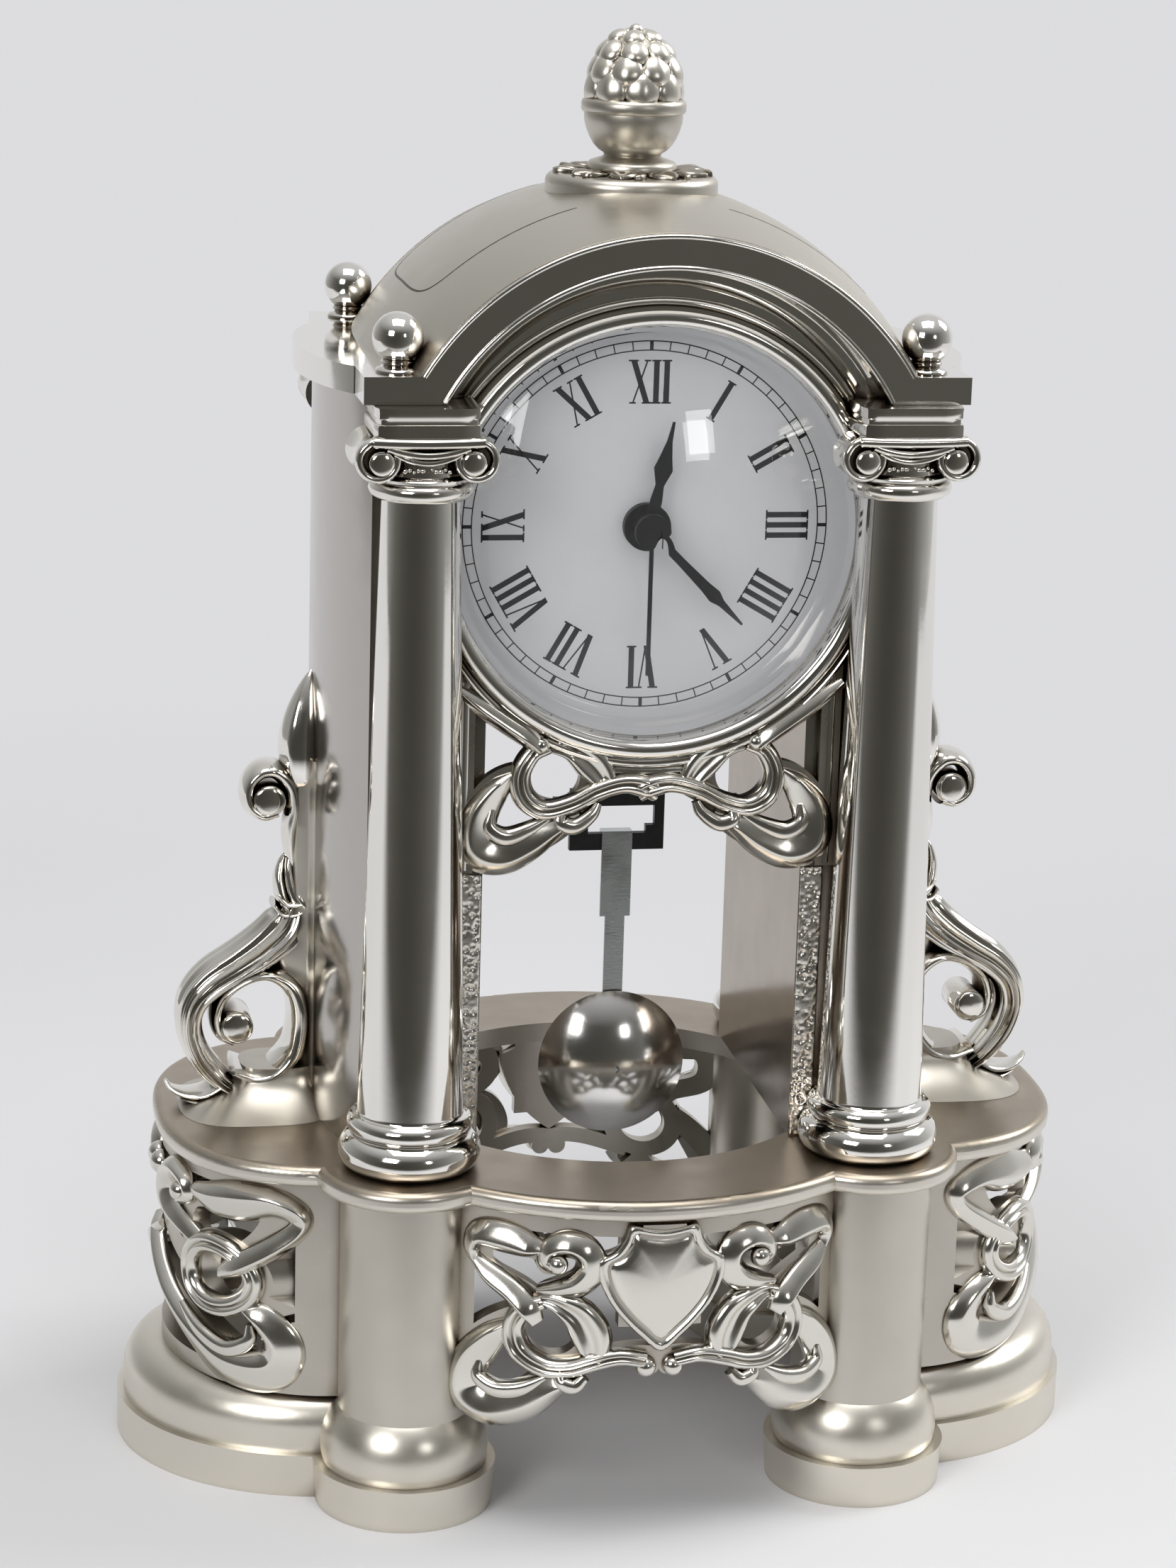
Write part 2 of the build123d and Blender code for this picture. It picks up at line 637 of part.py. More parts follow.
# Scroll brackets: an S-scroll with an open eye, a rolled top and a leaf bud on each wall
SCROLL_W = 20.0
SKIRT_W = 28.0
EYE_X = 61.6
EYE_Z = 77.0
EYE_R = 6.6
EYE_BAND = 3.2
ROLL_X = 61.4
ROLL_Z = 119.6
ROLL_R = 4.0
BUD_Z = 128.5
with BuildPart() as left_bracket:
    with BuildSketch(at_y(SCROLL_W / 2)):
        with Locations((-EYE_X, EYE_Z)):
            Circle(EYE_R + EYE_BAND)
            Circle(EYE_R, mode=Mode.SUBTRACT)
        with Locations((-EYE_X - EYE_R + 1.4, EYE_Z + 0.6)):
            Circle(2.7)
        with BuildLine():
            Spline((-54.0, 99.0), (-60.6, 93.0), (-68.5, 88.4), (-73.6, 82.0), (-74.4, 75.0), (-70.6, 69.0),
                   (-64.0, 66.6))
        trace(line_width=5.0)
        with BuildLine():
            Spline((-54.4, 99.5), (-56.2, 105.0), (-54.8, 112.0), (-56.6, 119.0), (-60.5, 122.4))
        trace(line_width=4.0)
        with Locations((-ROLL_X, ROLL_Z)):
            Circle(ROLL_R)
        with Locations((-54.0, 84.5)):
            Rectangle(6.0, 30.0)
    extrude(amount=SCROLL_W)
    with BuildSketch(at_y(SKIRT_W / 2)):
        with BuildLine():
            Polyline((-50.0, DECK_TOP), (-71.0, DECK_TOP), (-78.6, DECK_TOP), (-78.6, DECK_TOP + 2.6),
                     (-70.0, DECK_TOP + 5.8), (-50.0, DECK_TOP + 6.6), (-50.0, DECK_TOP), close=False)
        make_face()
    extrude(amount=SKIRT_W)
    with BuildSketch(Plane.XY.offset(DECK_TOP)):
        with Locations((-LOBE_X, 0)):
            Ellipse(PANEL_A, PANEL_B - 15)
    extrude(amount=2 * (ROLL_Z - DECK_TOP), mode=Mode.INTERSECT)
    with BuildSketch(upright(-POST_X - WALL_A - 1.2, 0)):
        with BuildLine():
            Spline((0, BUD_Z - 12.5), (3.4, BUD_Z - 6.0), (4.4, BUD_Z), (2.4, BUD_Z + 7.5), (0, BUD_Z + 11.5))
            Line((0, BUD_Z + 11.5), (0, BUD_Z - 12.5))
        make_face()
    revolve(axis=Axis((-POST_X - WALL_A - 1.2, 0, 0), (0, 0, 1)))
    with BuildSketch(Plane.XY.offset(DECK_TOP)):
        with Locations((-POST_X, 0)):
            Ellipse(WALL_A, WALL_B)
        with Locations((-POST_X / 2, 0)):
            Rectangle(POST_X, 2 * WALL_B)
    extrude(amount=CORNICE_Z - DECK_TOP, mode=Mode.SUBTRACT)
left_bracket.part.label = "left_bracket"
export_step(left_bracket.part, "parts/left_bracket.step")

with BuildPart() as right_bracket:
    mirror(left_bracket.part, about=Plane.YZ)
right_bracket.part.label = "right_bracket"
export_step(right_bracket.part, "parts/right_bracket.step")

# Cornice: bowed slabs over the side walls
with BuildPart() as left_cornice:
    with BuildSketch(Plane.XY.offset(CORNICE_Z)):
        with Locations((-POST_X, 0)):
            Ellipse(CORNICE_A, CORNICE_B)
        with Locations((-POST_X + CORNICE_A / 2, 0)):
            Rectangle(CORNICE_A, 2 * CORNICE_B)
        with Locations((-WALL_IN + 20, 0)):
            Rectangle(40, 3 * CORNICE_B, mode=Mode.SUBTRACT)
        with Locations((-POST_X, BLOCK_BACK + 10), (-POST_X, -BLOCK_BACK - 10)):
            Rectangle(60, 20, mode=Mode.SUBTRACT)
    extrude(amount=CORNICE_H)
    with BuildSketch(at_y(DIAL_BACK + SEAT)):
        with Locations((0, DIAL_Z)):
            Circle(BEZEL_OUT + SEAT)
    extrude(amount=WALL_FACE, mode=Mode.SUBTRACT)
left_cornice.part.label = "left_cornice"
export_step(left_cornice.part, "parts/left_cornice.step")

with BuildPart() as right_cornice:
    mirror(left_cornice.part, about=Plane.YZ)
right_cornice.part.label = "right_cornice"
export_step(right_cornice.part, "parts/right_cornice.step")

# Arches: a flat polished ring with a stepped reveal, standing on square blocks
ARCH_AXIS = Axis((0, 0, ARCH_Z), (0, 1, 0))
SIDE_PLANE = Plane(origin=(0, 0, ARCH_Z), x_dir=(0, 1, 0), z_dir=(1, 0, 0))
with BuildPart() as front_arch:
    with BuildSketch(SIDE_PLANE):
        with BuildLine():
            Polyline(
                (-BLOCK_FRONT, ARCH_IN),
                (-BLOCK_FRONT, roof_r(BLOCK_FRONT)),
                (-ROOF_END, roof_r(ROOF_END)),
                (-ROOF_END, ARCH_IN + 3.0),
                (-BLOCK_BACK, ARCH_IN + 3.0),
                (-BLOCK_BACK, ARCH_STEP_IN),
                (-ARCH_STEP_Y + 2.0, ARCH_STEP_IN),
                (-ARCH_STEP_Y, ARCH_STEP_IN + 1.6),
                (-ARCH_STEP_Y, ARCH_IN - 1.0),
                (-ARCH_STEP_Y - 1.2, ARCH_IN),
                close=True,
            )
        make_face()
    revolve(axis=ARCH_AXIS)
    with BuildSketch(Plane.XY.offset(CORNICE_Z)):
        for side in (-1, 1):
            with Locations((side * (ARCH_IN - 5.0 + BLOCK_X) / 2, -(BLOCK_FRONT + BLOCK_BACK) / 2)):
                Rectangle(BLOCK_X - ARCH_IN + 5.0, BLOCK_FRONT - BLOCK_BACK)
    extrude(amount=CORNICE_H)
    split(bisect_by=Plane.XY.offset(CORNICE_Z), keep=Keep.TOP)
    with BuildSketch(at_y(-WALL_FACE)):
        with Locations((0, ARCH_Z)):
            Circle(ARCH_STEP_IN + 1.0)
        with Locations((0, DIAL_Z)):
            Circle(BEZEL_OUT + SEAT, mode=Mode.SUBTRACT)
        with Locations((0, CORNICE_Z - ARCH_IN)):
            Rectangle(4 * ARCH_IN, 2 * ARCH_IN, mode=Mode.SUBTRACT)
    extrude(amount=FASCIA_T)
front_arch.part.label = "front_arch"
export_step(front_arch.part, "parts/front_arch.step")

with BuildPart() as rear_arch:
    mirror(front_arch.part, about=Plane.XZ)
rear_arch.part.label = "rear_arch"
export_step(rear_arch.part, "parts/rear_arch.step")

# Roof: a cushion-shaped vault between the arches, bored for the finial
with BuildPart() as roof_shell:
    with BuildSketch(SIDE_PLANE):
        with BuildLine():
            ThreePointArc((-ROOF_END, roof_r(ROOF_END)), (0, ROOF_CREST), (ROOF_END, roof_r(ROOF_END)))
            Line((ROOF_END, roof_r(ROOF_END)), (ROOF_END, roof_r(ROOF_END) - ROOF_T))
            ThreePointArc((ROOF_END, roof_r(ROOF_END) - ROOF_T), (0, ROOF_CREST - ROOF_T),
                          (-ROOF_END, roof_r(ROOF_END) - ROOF_T))
            Line((-ROOF_END, roof_r(ROOF_END) - ROOF_T), (-ROOF_END, roof_r(ROOF_END)))
        make_face()
    revolve(axis=ARCH_AXIS)
    split(bisect_by=Plane.XY.offset(CORNICE_TOP), keep=Keep.TOP)
    with BuildSketch(Plane.XY.offset(CORNICE_TOP)):
        Circle(SPIGOT_R + SEAT)
    extrude(amount=ROOF_CREST, mode=Mode.SUBTRACT)
roof_shell.part.label = "roof_shell"
export_step(roof_shell.part, "parts/roof_shell.step")

# Corner balls: four polished balls on short necks over the blocks
with BuildPart() as corner_balls:
    for side in (-1, 1):
        for end in (-1, 1):
            with BuildSketch(upright(side * BALL_X, end * BALL_Y)):
                with BuildLine():
                    Polyline((0, BALL_Z + BALL_R), (0, CORNICE_TOP), (BALL_NECK_R, CORNICE_TOP),
                             (BALL_NECK_R - 0.2, CORNICE_TOP + 1.0),
                             (BALL_NECK_R - 0.2, BALL_Z - math.sqrt(BALL_R ** 2 - (BALL_NECK_R - 0.2) ** 2)))
                    ThreePointArc(
                        (BALL_NECK_R - 0.2, BALL_Z - math.sqrt(BALL_R ** 2 - (BALL_NECK_R - 0.2) ** 2)),
                        (BALL_R, BALL_Z),
                        (0, BALL_Z + BALL_R),
                    )
                make_face()
            revolve(axis=Axis((side * BALL_X, end * BALL_Y, 0), (0, 0, 1)))
corner_balls.part.label = "corner_balls"
export_step(corner_balls.part, "parts/corner_balls.step")

# Finial: a leaf disc saddled on the roof, a turned cup with a spigot, and a scaled cone
with BuildPart() as finial_disc:
    with BuildSketch(Plane.XY.offset(DISC_TOP - DISC_H)):
        Circle(DISC_R)
    extrude(amount=DISC_H)
    fillet(finial_disc.faces().sort_by(Axis.Z)[-1].edges(), 1.6)
    with BuildSketch(SIDE_PLANE):
        with BuildLine():
            ThreePointArc((-ROOF_END, roof_r(ROOF_END)), (0, ROOF_CREST), (ROOF_END, roof_r(ROOF_END)))
            Polyline((ROOF_END, roof_r(ROOF_END)), (ROOF_END, 0), (-ROOF_END, 0),
                     (-ROOF_END, roof_r(ROOF_END)))
        make_face()
    revolve(axis=ARCH_AXIS, mode=Mode.SUBTRACT)
    with BuildSketch(Plane.XY.offset(DISC_TOP - 2 * DISC_H)):
        Circle(SPIGOT_R + SEAT)
    extrude(amount=3 * DISC_H, mode=Mode.SUBTRACT)
finial_disc.part.label = "finial_disc"
export_step(finial_disc.part, "parts/finial_disc.step")

SPIGOT_END = ARCH_Z + ROOF_CREST - ROOF_T - 4.0
CUP_FLOOR = CUP_TOP - 2.0
with BuildPart() as finial_cup:
    with BuildSketch(Plane.XZ):
        with BuildLine():
            Polyline((0, SPIGOT_END), (SPIGOT_R, SPIGOT_END), (SPIGOT_R, DISC_TOP), (FINIAL_FOOT_R, DISC_TOP),
                     (FINIAL_FOOT_R, DISC_TOP + 1.0), (FINIAL_NECK_R, DISC_TOP + 2.6))
            ThreePointArc((FINIAL_NECK_R, DISC_TOP + 2.6), (CUP_R - 1.1, (DISC_TOP + CUP_TOP) / 2 + 0.6),
                          (CUP_R - 0.3, CUP_TOP - 1.4))
            Polyline((CUP_R - 0.3, CUP_TOP - 1.4), (CUP_R, CUP_TOP - 1.2), (CUP_R, CUP_TOP),
                     (CONE_R + 0.2, CUP_TOP), (CONE_R - 0.8, CUP_FLOOR), (0, CUP_FLOOR), (0, SPIGOT_END))
        make_face()
    revolve(axis=Axis.Z)
finial_cup.part.label = "finial_cup"
export_step(finial_cup.part, "parts/finial_cup.step")

CONE_BELLY = CUP_TOP + 2.8
with BuildPart() as finial_cone:
    with BuildSketch(Plane.XZ):
        with BuildLine():
            Polyline((0, TOTAL_H), (0, CUP_FLOOR), (CONE_R - 1.0, CUP_FLOOR), (CONE_R - 0.2, CUP_TOP))
            Spline((CONE_R - 0.2, CUP_TOP), (CONE_R, CONE_BELLY), (CONE_R * 0.72, TOTAL_H - 3.0),
                   (0, TOTAL_H))
        make_face()
    revolve(axis=Axis.Z)
finial_cone.part.label = "finial_cone"
export_step(finial_cone.part, "parts/finial_cone.step")

# Dial fascia: a flat frame between the front columns, with ribbon scrolls under the bezel
FASCIA_BACK = -WALL_FACE
FASCIA_RING_X = 15.8
FASCIA_RING_Z = FASCIA_TOP - 3.4
FASCIA_RING_R = 6.8
FASCIA_EYE_R = 4.2
FASCIA_RIBBON = 3.4
with BuildPart() as dial_fascia:
    with BuildSketch(at_y(FASCIA_BACK)):
        for side in (-1, 1):
            with Locations((side * FASCIA_RING_X, FASCIA_RING_Z)):
                Circle(FASCIA_RING_R)
                Circle(FASCIA_EYE_R, mode=Mode.SUBTRACT)
        for side in (-1, 1):
            with Locations((side * (FASCIA_STRIP + FASCIA_X) / 2, (FASCIA_BOTTOM + DIAL_Z) / 2)):
                Rectangle(FASCIA_X - FASCIA_STRIP, DIAL_Z - FASCIA_BOTTOM)
            with BuildLine():
                Spline((side * FASCIA_X, FASCIA_TOP + 12.6), (side * 24.3, FASCIA_TOP + 6.6),
                       (side * 17.0, FASCIA_TOP + 2.0))
            trace(line_width=2.6)
            with BuildLine():
                Spline((side * 16.0, FASCIA_TOP - 8.8), (side * 11.0, FASCIA_TOP - 7.8),
                       (side * 6.2, FASCIA_TOP - 5.2), (side * -1.0, FASCIA_TOP - 5.0))
            trace(line_width=3.0)
            with BuildLine():
                Spline((side * 22.4, FASCIA_TOP - 2.8), (side * 27.8, FASCIA_TOP - 5.8),
                       (side * 30.2, FASCIA_TOP - 11.0), (side * 29.4, FASCIA_TOP - 15.8),
                       (side * 26.2, FASCIA_TOP - 17.8), (side * 21.6, FASCIA_TOP - 16.4),
                       (side * 16.0, FASCIA_TOP - 13.4), (side * 11.4, FASCIA_TOP - 9.4))
            trace(line_width=FASCIA_RIBBON)
        with Locations((0, FASCIA_TOP - 1.9)):
            Rectangle(15.0, 6.0)
        with Locations((0, DIAL_Z)):
            Circle(BEZEL_OUT + SEAT, mode=Mode.SUBTRACT)
    extrude(amount=FASCIA_T)
    with BuildSketch(at_y(FASCIA_BACK)):
        with Locations((0, FASCIA_BOTTOM / 2)):
            Rectangle(4 * FASCIA_X, FASCIA_BOTTOM)
    extrude(amount=FASCIA_T, mode=Mode.SUBTRACT)
    for name in ("front_left", "front_right"):
        add(columns[name], mode=Mode.SUBTRACT)
        add(capitals[name], mode=Mode.SUBTRACT)
dial_fascia.part.label = "dial_fascia"
export_step(dial_fascia.part, "parts/dial_fascia.step")

# Rear fascia and its round lift-out cover
with BuildPart() as rear_fascia:
    with BuildSketch(at_y(WALL_FACE + FASCIA_T)):
        with Locations((0, (REAR_BOTTOM + CORNICE_Z) / 2)):
            Rectangle(2 * FASCIA_X, CORNICE_Z - REAR_BOTTOM)
        with Locations((0, DIAL_Z)):
            Circle(BEZEL_OUT)
        with Locations((0, DIAL_Z)):
            Circle(REAR_HOLE_R + SEAT, mode=Mode.SUBTRACT)
    extrude(amount=FASCIA_T)
    for name in ("rear_left", "rear_right"):
        add(columns[name], mode=Mode.SUBTRACT)
        add(capitals[name], mode=Mode.SUBTRACT)
rear_fascia.part.label = "rear_fascia"
export_step(rear_fascia.part, "parts/rear_fascia.step")

DIAL_AXIS = Axis((0, 0, DIAL_Z), (0, 1, 0))
DIAL_SIDE = Plane(origin=(0, 0, DIAL_Z), x_dir=(0, 1, 0), z_dir=(1, 0, 0))
with BuildPart() as rear_cover:
    with BuildSketch(at_y(WALL_FACE + FASCIA_T)):
        with Locations((0, DIAL_Z)):
            Circle(REAR_HOLE_R)
    extrude(amount=FASCIA_T)
    with BuildSketch(at_y(WALL_FACE + FASCIA_T + 1.0)):
        with Locations((0, DIAL_Z)):
            Circle(REAR_HOLE_R + 1.8)
    extrude(amount=1.0)
    with BuildSketch(at_y(WALL_FACE + FASCIA_T + 4.0)):
        with Locations((0, DIAL_Z)):
            Circle(4.0)
    extrude(amount=3.0)
rear_cover.part.label = "rear_cover"
export_step(rear_cover.part, "parts/rear_cover.step")

# Bezel: a rounded ring that holds the glass and the dial from behind
LIP_BACK = BEZEL_FRONT + BEZEL_LIP
NOTCH_R = SHAFT_TOP_R + 0.9
with BuildPart() as bezel:
    with BuildSketch(DIAL_SIDE):
        with BuildLine():
            Polyline(
                (LIP_BACK, BEZEL_IN),
                (BEZEL_FRONT + 1.6, BEZEL_IN),
                (BEZEL_FRONT + 0.4, BEZEL_IN + 0.6),
                (BEZEL_FRONT, BEZEL_IN + 1.4),
                (BEZEL_FRONT + 0.4, BEZEL_OUT - 0.7),
                (BEZEL_FRONT + 1.4, BEZEL_OUT),
                (DIAL_BACK, BEZEL_OUT),
                (DIAL_BACK, DIAL_R + SEAT),
                (LIP_BACK, DIAL_R + SEAT),
                close=True,
            )
        make_face()
    revolve(axis=DIAL_AXIS)
    with BuildSketch(Plane.XY.offset(DIAL_Z - BEZEL_OUT)):
        with Locations(CORNERS["front_left"], CORNERS["front_right"]):
            Circle(NOTCH_R)
        with Locations((0, LIP_BACK + NOTCH_R)):
            Rectangle(4 * POST_X, 2 * NOTCH_R, mode=Mode.SUBTRACT)
    extrude(amount=2 * BEZEL_OUT, mode=Mode.SUBTRACT)
    with BuildSketch(Plane.XY.offset(CAPITAL_Z - SEAT)):
        with Locations((-POST_X, LIP_BACK - POST_Y), (POST_X, LIP_BACK - POST_Y)):
            Rectangle(2 * (VOLUTE_X + VOLUTE_R + SEAT), 2 * POST_Y)
    extrude(amount=CORNICE_Z - CAPITAL_Z + SEAT, mode=Mode.SUBTRACT)
bezel.part.label = "bezel"
export_step(bezel.part, "parts/bezel.step")

# Dome glass with a flat flange under the bezel lip
FLANGE_BACK = LIP_BACK + GLASS_T
GLASS_R = BEZEL_IN - SEAT
GLASS_OUTER = cap_mid(GLASS_R, GLASS_RISE)
GLASS_INNER = cap_mid(GLASS_R - GLASS_T, GLASS_RISE)
with BuildPart() as dome_glass:
    with BuildSketch(DIAL_SIDE):
        with BuildLine():
            ThreePointArc((LIP_BACK - GLASS_RISE, 0),
                          (LIP_BACK - GLASS_RISE + GLASS_OUTER[0], GLASS_OUTER[1]),
                          (LIP_BACK, GLASS_R))
            Polyline((LIP_BACK, GLASS_R), (LIP_BACK, DIAL_R), (FLANGE_BACK, DIAL_R),
                     (FLANGE_BACK, GLASS_R - GLASS_T))
            ThreePointArc((FLANGE_BACK, GLASS_R - GLASS_T),
                          (FLANGE_BACK - GLASS_RISE + GLASS_INNER[0], GLASS_INNER[1]),
                          (FLANGE_BACK - GLASS_RISE, 0))
            Line((FLANGE_BACK - GLASS_RISE, 0), (LIP_BACK - GLASS_RISE, 0))
        make_face()
    revolve(axis=DIAL_AXIS)
dome_glass.part.label = "dome_glass"
export_step(dome_glass.part, "parts/dome_glass.step")

# Dial: a white dish whose rim spaces it from the glass
with BuildPart() as dial_plate:
    with BuildSketch(DIAL_SIDE):
        with BuildLine():
            Polyline(
                (DIAL_FACE, BUSH_R + SEAT),
                (DIAL_FACE, DIAL_R - DIAL_RIM_T),
                (FLANGE_BACK, DIAL_R - DIAL_RIM_T),
                (FLANGE_BACK, DIAL_R),
                (DIAL_BACK, DIAL_R),
                (DIAL_BACK, BUSH_R + SEAT),
                close=True,
            )
        make_face()
    revolve(axis=DIAL_AXIS)
dial_plate.part.label = "dial_plate"
export_step(dial_plate.part, "parts/dial_plate.step")

# Wheel centres
INPUT_GAP = INPUT_M * (SECOND_TEETH + INTER_LEAVES) / 2
ROTOR_GAP = INPUT_M * (INTER_TEETH + ROTOR_LEAVES) / 2
THIRD_GAP = TRAIN_M * (SECOND_LEAVES + THIRD_TEETH) / 2
CENTRE_M = 2 * THIRD_GAP / (THIRD_LEAVES + CENTRE_TEETH)
MOTION_GAP = MOTION_M * (CANNON_LEAVES + MOTION_TEETH) / 2
HOUR_M = 2 * MOTION_GAP / (MOTION_LEAVES + HOUR_TEETH)
THIRD_C = polar(THIRD_GAP, THIRD_ANGLE)
MOTION_C = polar(MOTION_GAP, MOTION_ANGLE)
INTER_C = polar(INPUT_GAP, INTER_ANGLE)
ROTOR_STEP = polar(ROTOR_GAP, ROTOR_ANGLE)
ROTOR_C = (INTER_C[0] + ROTOR_STEP[0], INTER_C[1] + ROTOR_STEP[1])
CENTRE_C = (0.0, 0.0)

# Layers of the train, front to back
HOUR_LAYER = CASE_IN_FRONT + 0.6
MOTION_LAYER = HOUR_LAYER + WHEEL_T + 0.7
CENTRE_LAYER = MOTION_LAYER + WHEEL_T + 0.5
THIRD_LAYER = CENTRE_LAYER + WHEEL_T + 0.6
SECOND_LAYER = THIRD_LAYER + WHEEL_T + 0.6
INTER_LAYER = SECOND_LAYER + WHEEL_T + 0.6
MAGNET_LAYER = INTER_LAYER + PINION_T + 0.4
MAGNET_T = 2.0
PINION_LAP = (PINION_T - WHEEL_T) / 2
ARBOR_FRONT = CASE_FRONT + 0.2
ARBOR_BACK = BRIDGE_BACK - 0.05
WHEEL_TIP = 0.8
PINION_TIP = 0.6
WHEEL_ROOT = 1.1
PINION_ROOT = 1.15


def train_plane(centre, y):
    """Upright plane at depth y with its origin on a wheel axis."""
    return Plane(origin=(centre[0], y, DIAL_Z + centre[1]), x_dir=(1, 0, 0), z_dir=(0, -1, 0))


# Movement case: an open-backed box with a threaded bush and pivot holes
CASE_MID = (CASE_TOP + CASE_BOTTOM) / 2
CASE_H = CASE_TOP - CASE_BOTTOM
SLOT_X = HANGER_ARM / 2 + 2.0
CELL_Z = DIAL_Z + CELL_RISE
SHELF_TOP = CELL_Z - CELL_R - SEAT
with BuildPart() as movement_case:
    with BuildSketch(at_y(CASE_BACK)):
        with Locations((0, CASE_MID)):
            Rectangle(CASE_W, CASE_H)
    extrude(amount=CASE_BACK - CASE_FRONT)
    with BuildSketch(at_y(CASE_BACK)):
        with Locations((0, CASE_MID)):
            Rectangle(CASE_W - 2 * CASE_WALL, CASE_H - 2 * CASE_WALL)
    extrude(amount=CASE_BACK - CASE_IN_FRONT, mode=Mode.SUBTRACT)
    with BuildSketch(train_plane(CENTRE_C, CASE_FRONT)):
        Circle(BUSH_R)
    extrude(amount=CASE_FRONT - BUSH_FRONT)
    with BuildSketch(train_plane(CENTRE_C, CASE_BACK)):
        Circle(HOUR_TUBE_R + RUN)
    extrude(amount=CASE_BACK - BUSH_FRONT, mode=Mode.SUBTRACT)
    for centre in (THIRD_C, MOTION_C, INTER_C, ROTOR_C):
        with BuildSketch(train_plane(centre, CASE_IN_FRONT)):
            Circle(ARBOR_R + RUN)
        extrude(amount=CASE_WALL, mode=Mode.SUBTRACT)
    with BuildSketch(Plane(origin=(0, HANGER_BACK - HANGER_T / 2, CASE_BOTTOM))):
        Rectangle(2 * SLOT_X, HANGER_T + 1.0)
    extrude(amount=CASE_WALL, mode=Mode.SUBTRACT)
    with BuildSketch(at_y(CASE_BACK)):
        with Locations((0, SHELF_TOP - SHELF_T / 2)):
            Rectangle(CASE_W - 2 * CASE_WALL, SHELF_T)
    extrude(amount=CASE_BACK - CASE_IN_FRONT)
movement_case.part.label = "movement_case"
export_step(movement_case.part, "parts/movement_case.step")

with BuildPart() as fixing_nut:
    with BuildSketch(train_plane(CENTRE_C, DIAL_FACE)):
        Circle(NUT_R)
        Circle(BUSH_R, mode=Mode.SUBTRACT)
    extrude(amount=NUT_T)
fixing_nut.part.label = "fixing_nut"
export_step(fixing_nut.part, "parts/fixing_nut.step")

# Train bridge: the rear pivot plate, with the pendulum's pivot pin on its back
BRIDGE_TOP = SHELF_TOP - SHELF_T - SEAT
BRIDGE_BOTTOM = CASE_BOTTOM + CASE_WALL
with BuildPart() as train_bridge:
    with BuildSketch(at_y(BRIDGE_BACK)):
        with Locations((0, (BRIDGE_TOP + BRIDGE_BOTTOM) / 2)):
            Rectangle(CASE_W - 2 * CASE_WALL, BRIDGE_TOP - BRIDGE_BOTTOM)
    extrude(amount=BRIDGE_T)
    for centre in (CENTRE_C, THIRD_C, MOTION_C, INTER_C, ROTOR_C):
        with BuildSketch(train_plane(centre, BRIDGE_BACK)):
            Circle(ARBOR_R + RUN)
        extrude(amount=BRIDGE_T, mode=Mode.SUBTRACT)
    with BuildSketch(at_y(COVER_FRONT)):
        with Locations((0, PIVOT_Z)):
            Circle(PIVOT_R)
    extrude(amount=COVER_FRONT - BRIDGE_BACK)
train_bridge.part.label = "train_bridge"
export_step(train_bridge.part, "parts/train_bridge.step")

with BuildPart() as movement_cover:
    with BuildSketch(at_y(CASE_BACK)):
        with Locations((0, (BRIDGE_TOP + BRIDGE_BOTTOM + SEAT) / 2)):
            Rectangle(CASE_W - 2 * CASE_WALL - 2 * SEAT, BRIDGE_TOP - BRIDGE_BOTTOM - SEAT)
    extrude(amount=COVER_T)
    with BuildSketch(train_plane(MOTION_C, CASE_BACK)):
        Circle(ARBOR_R + RUN)
    extrude(amount=COVER_T, mode=Mode.SUBTRACT)
movement_cover.part.label = "movement_cover"
export_step(movement_cover.part, "parts/movement_cover.step")

# Second wheel: its arbor carries the second hand through the two tubes
with BuildPart() as second_wheel:
    with BuildSketch(train_plane(CENTRE_C, SECOND_LAYER + WHEEL_T)):
        with BuildLine():
            Polyline(*gear_points(SECOND_TEETH, INPUT_M, INTER_ANGLE, WHEEL_TIP, WHEEL_ROOT), close=True)
        make_face()
    extrude(amount=WHEEL_T)
    with BuildSketch(train_plane(CENTRE_C, THIRD_LAYER + WHEEL_T + PINION_LAP)):
        with BuildLine():
            Polyline(*gear_points(SECOND_LEAVES, TRAIN_M, THIRD_ANGLE + 180 / SECOND_LEAVES,
                                  PINION_TIP, PINION_ROOT), close=True)
        make_face()
    extrude(amount=PINION_T)
    with BuildSketch(train_plane(CENTRE_C, ARBOR_BACK)):
        Circle(ARBOR_R)
    extrude(amount=ARBOR_BACK - SECOND_HAND_Y + HAND_T)
second_wheel.part.label = "second_wheel"
export_step(second_wheel.part, "parts/second_wheel.step")

# Centre wheel with its tube and cannon pinion, which carries the minute hand
with BuildPart() as centre_wheel:
    with BuildSketch(train_plane(CENTRE_C, CENTRE_LAYER + WHEEL_T)):
        with BuildLine():
            Polyline(*gear_points(CENTRE_TEETH, CENTRE_M, THIRD_ANGLE, WHEEL_TIP, WHEEL_ROOT), close=True)
        make_face()
    extrude(amount=WHEEL_T)
    with BuildSketch(train_plane(CENTRE_C, MOTION_LAYER + WHEEL_T + PINION_LAP)):
        with BuildLine():
            Polyline(*gear_points(CANNON_LEAVES, MOTION_M, MOTION_ANGLE + 180 / CANNON_LEAVES, PINION_TIP,
                                  PINION_ROOT), close=True)
        make_face()
    extrude(amount=PINION_T)
    with BuildSketch(train_plane(CENTRE_C, CENTRE_LAYER + WHEEL_T)):
        Circle(CENTRE_TUBE_R)
    extrude(amount=CENTRE_LAYER + WHEEL_T - MINUTE_HAND_Y + HAND_T)
    with BuildSketch(train_plane(CENTRE_C, CENTRE_LAYER + WHEEL_T)):
        Circle(ARBOR_R + RUN)
    extrude(amount=CENTRE_LAYER + WHEEL_T - MINUTE_HAND_Y + HAND_T, mode=Mode.SUBTRACT)
centre_wheel.part.label = "centre_wheel"
export_step(centre_wheel.part, "parts/centre_wheel.step")

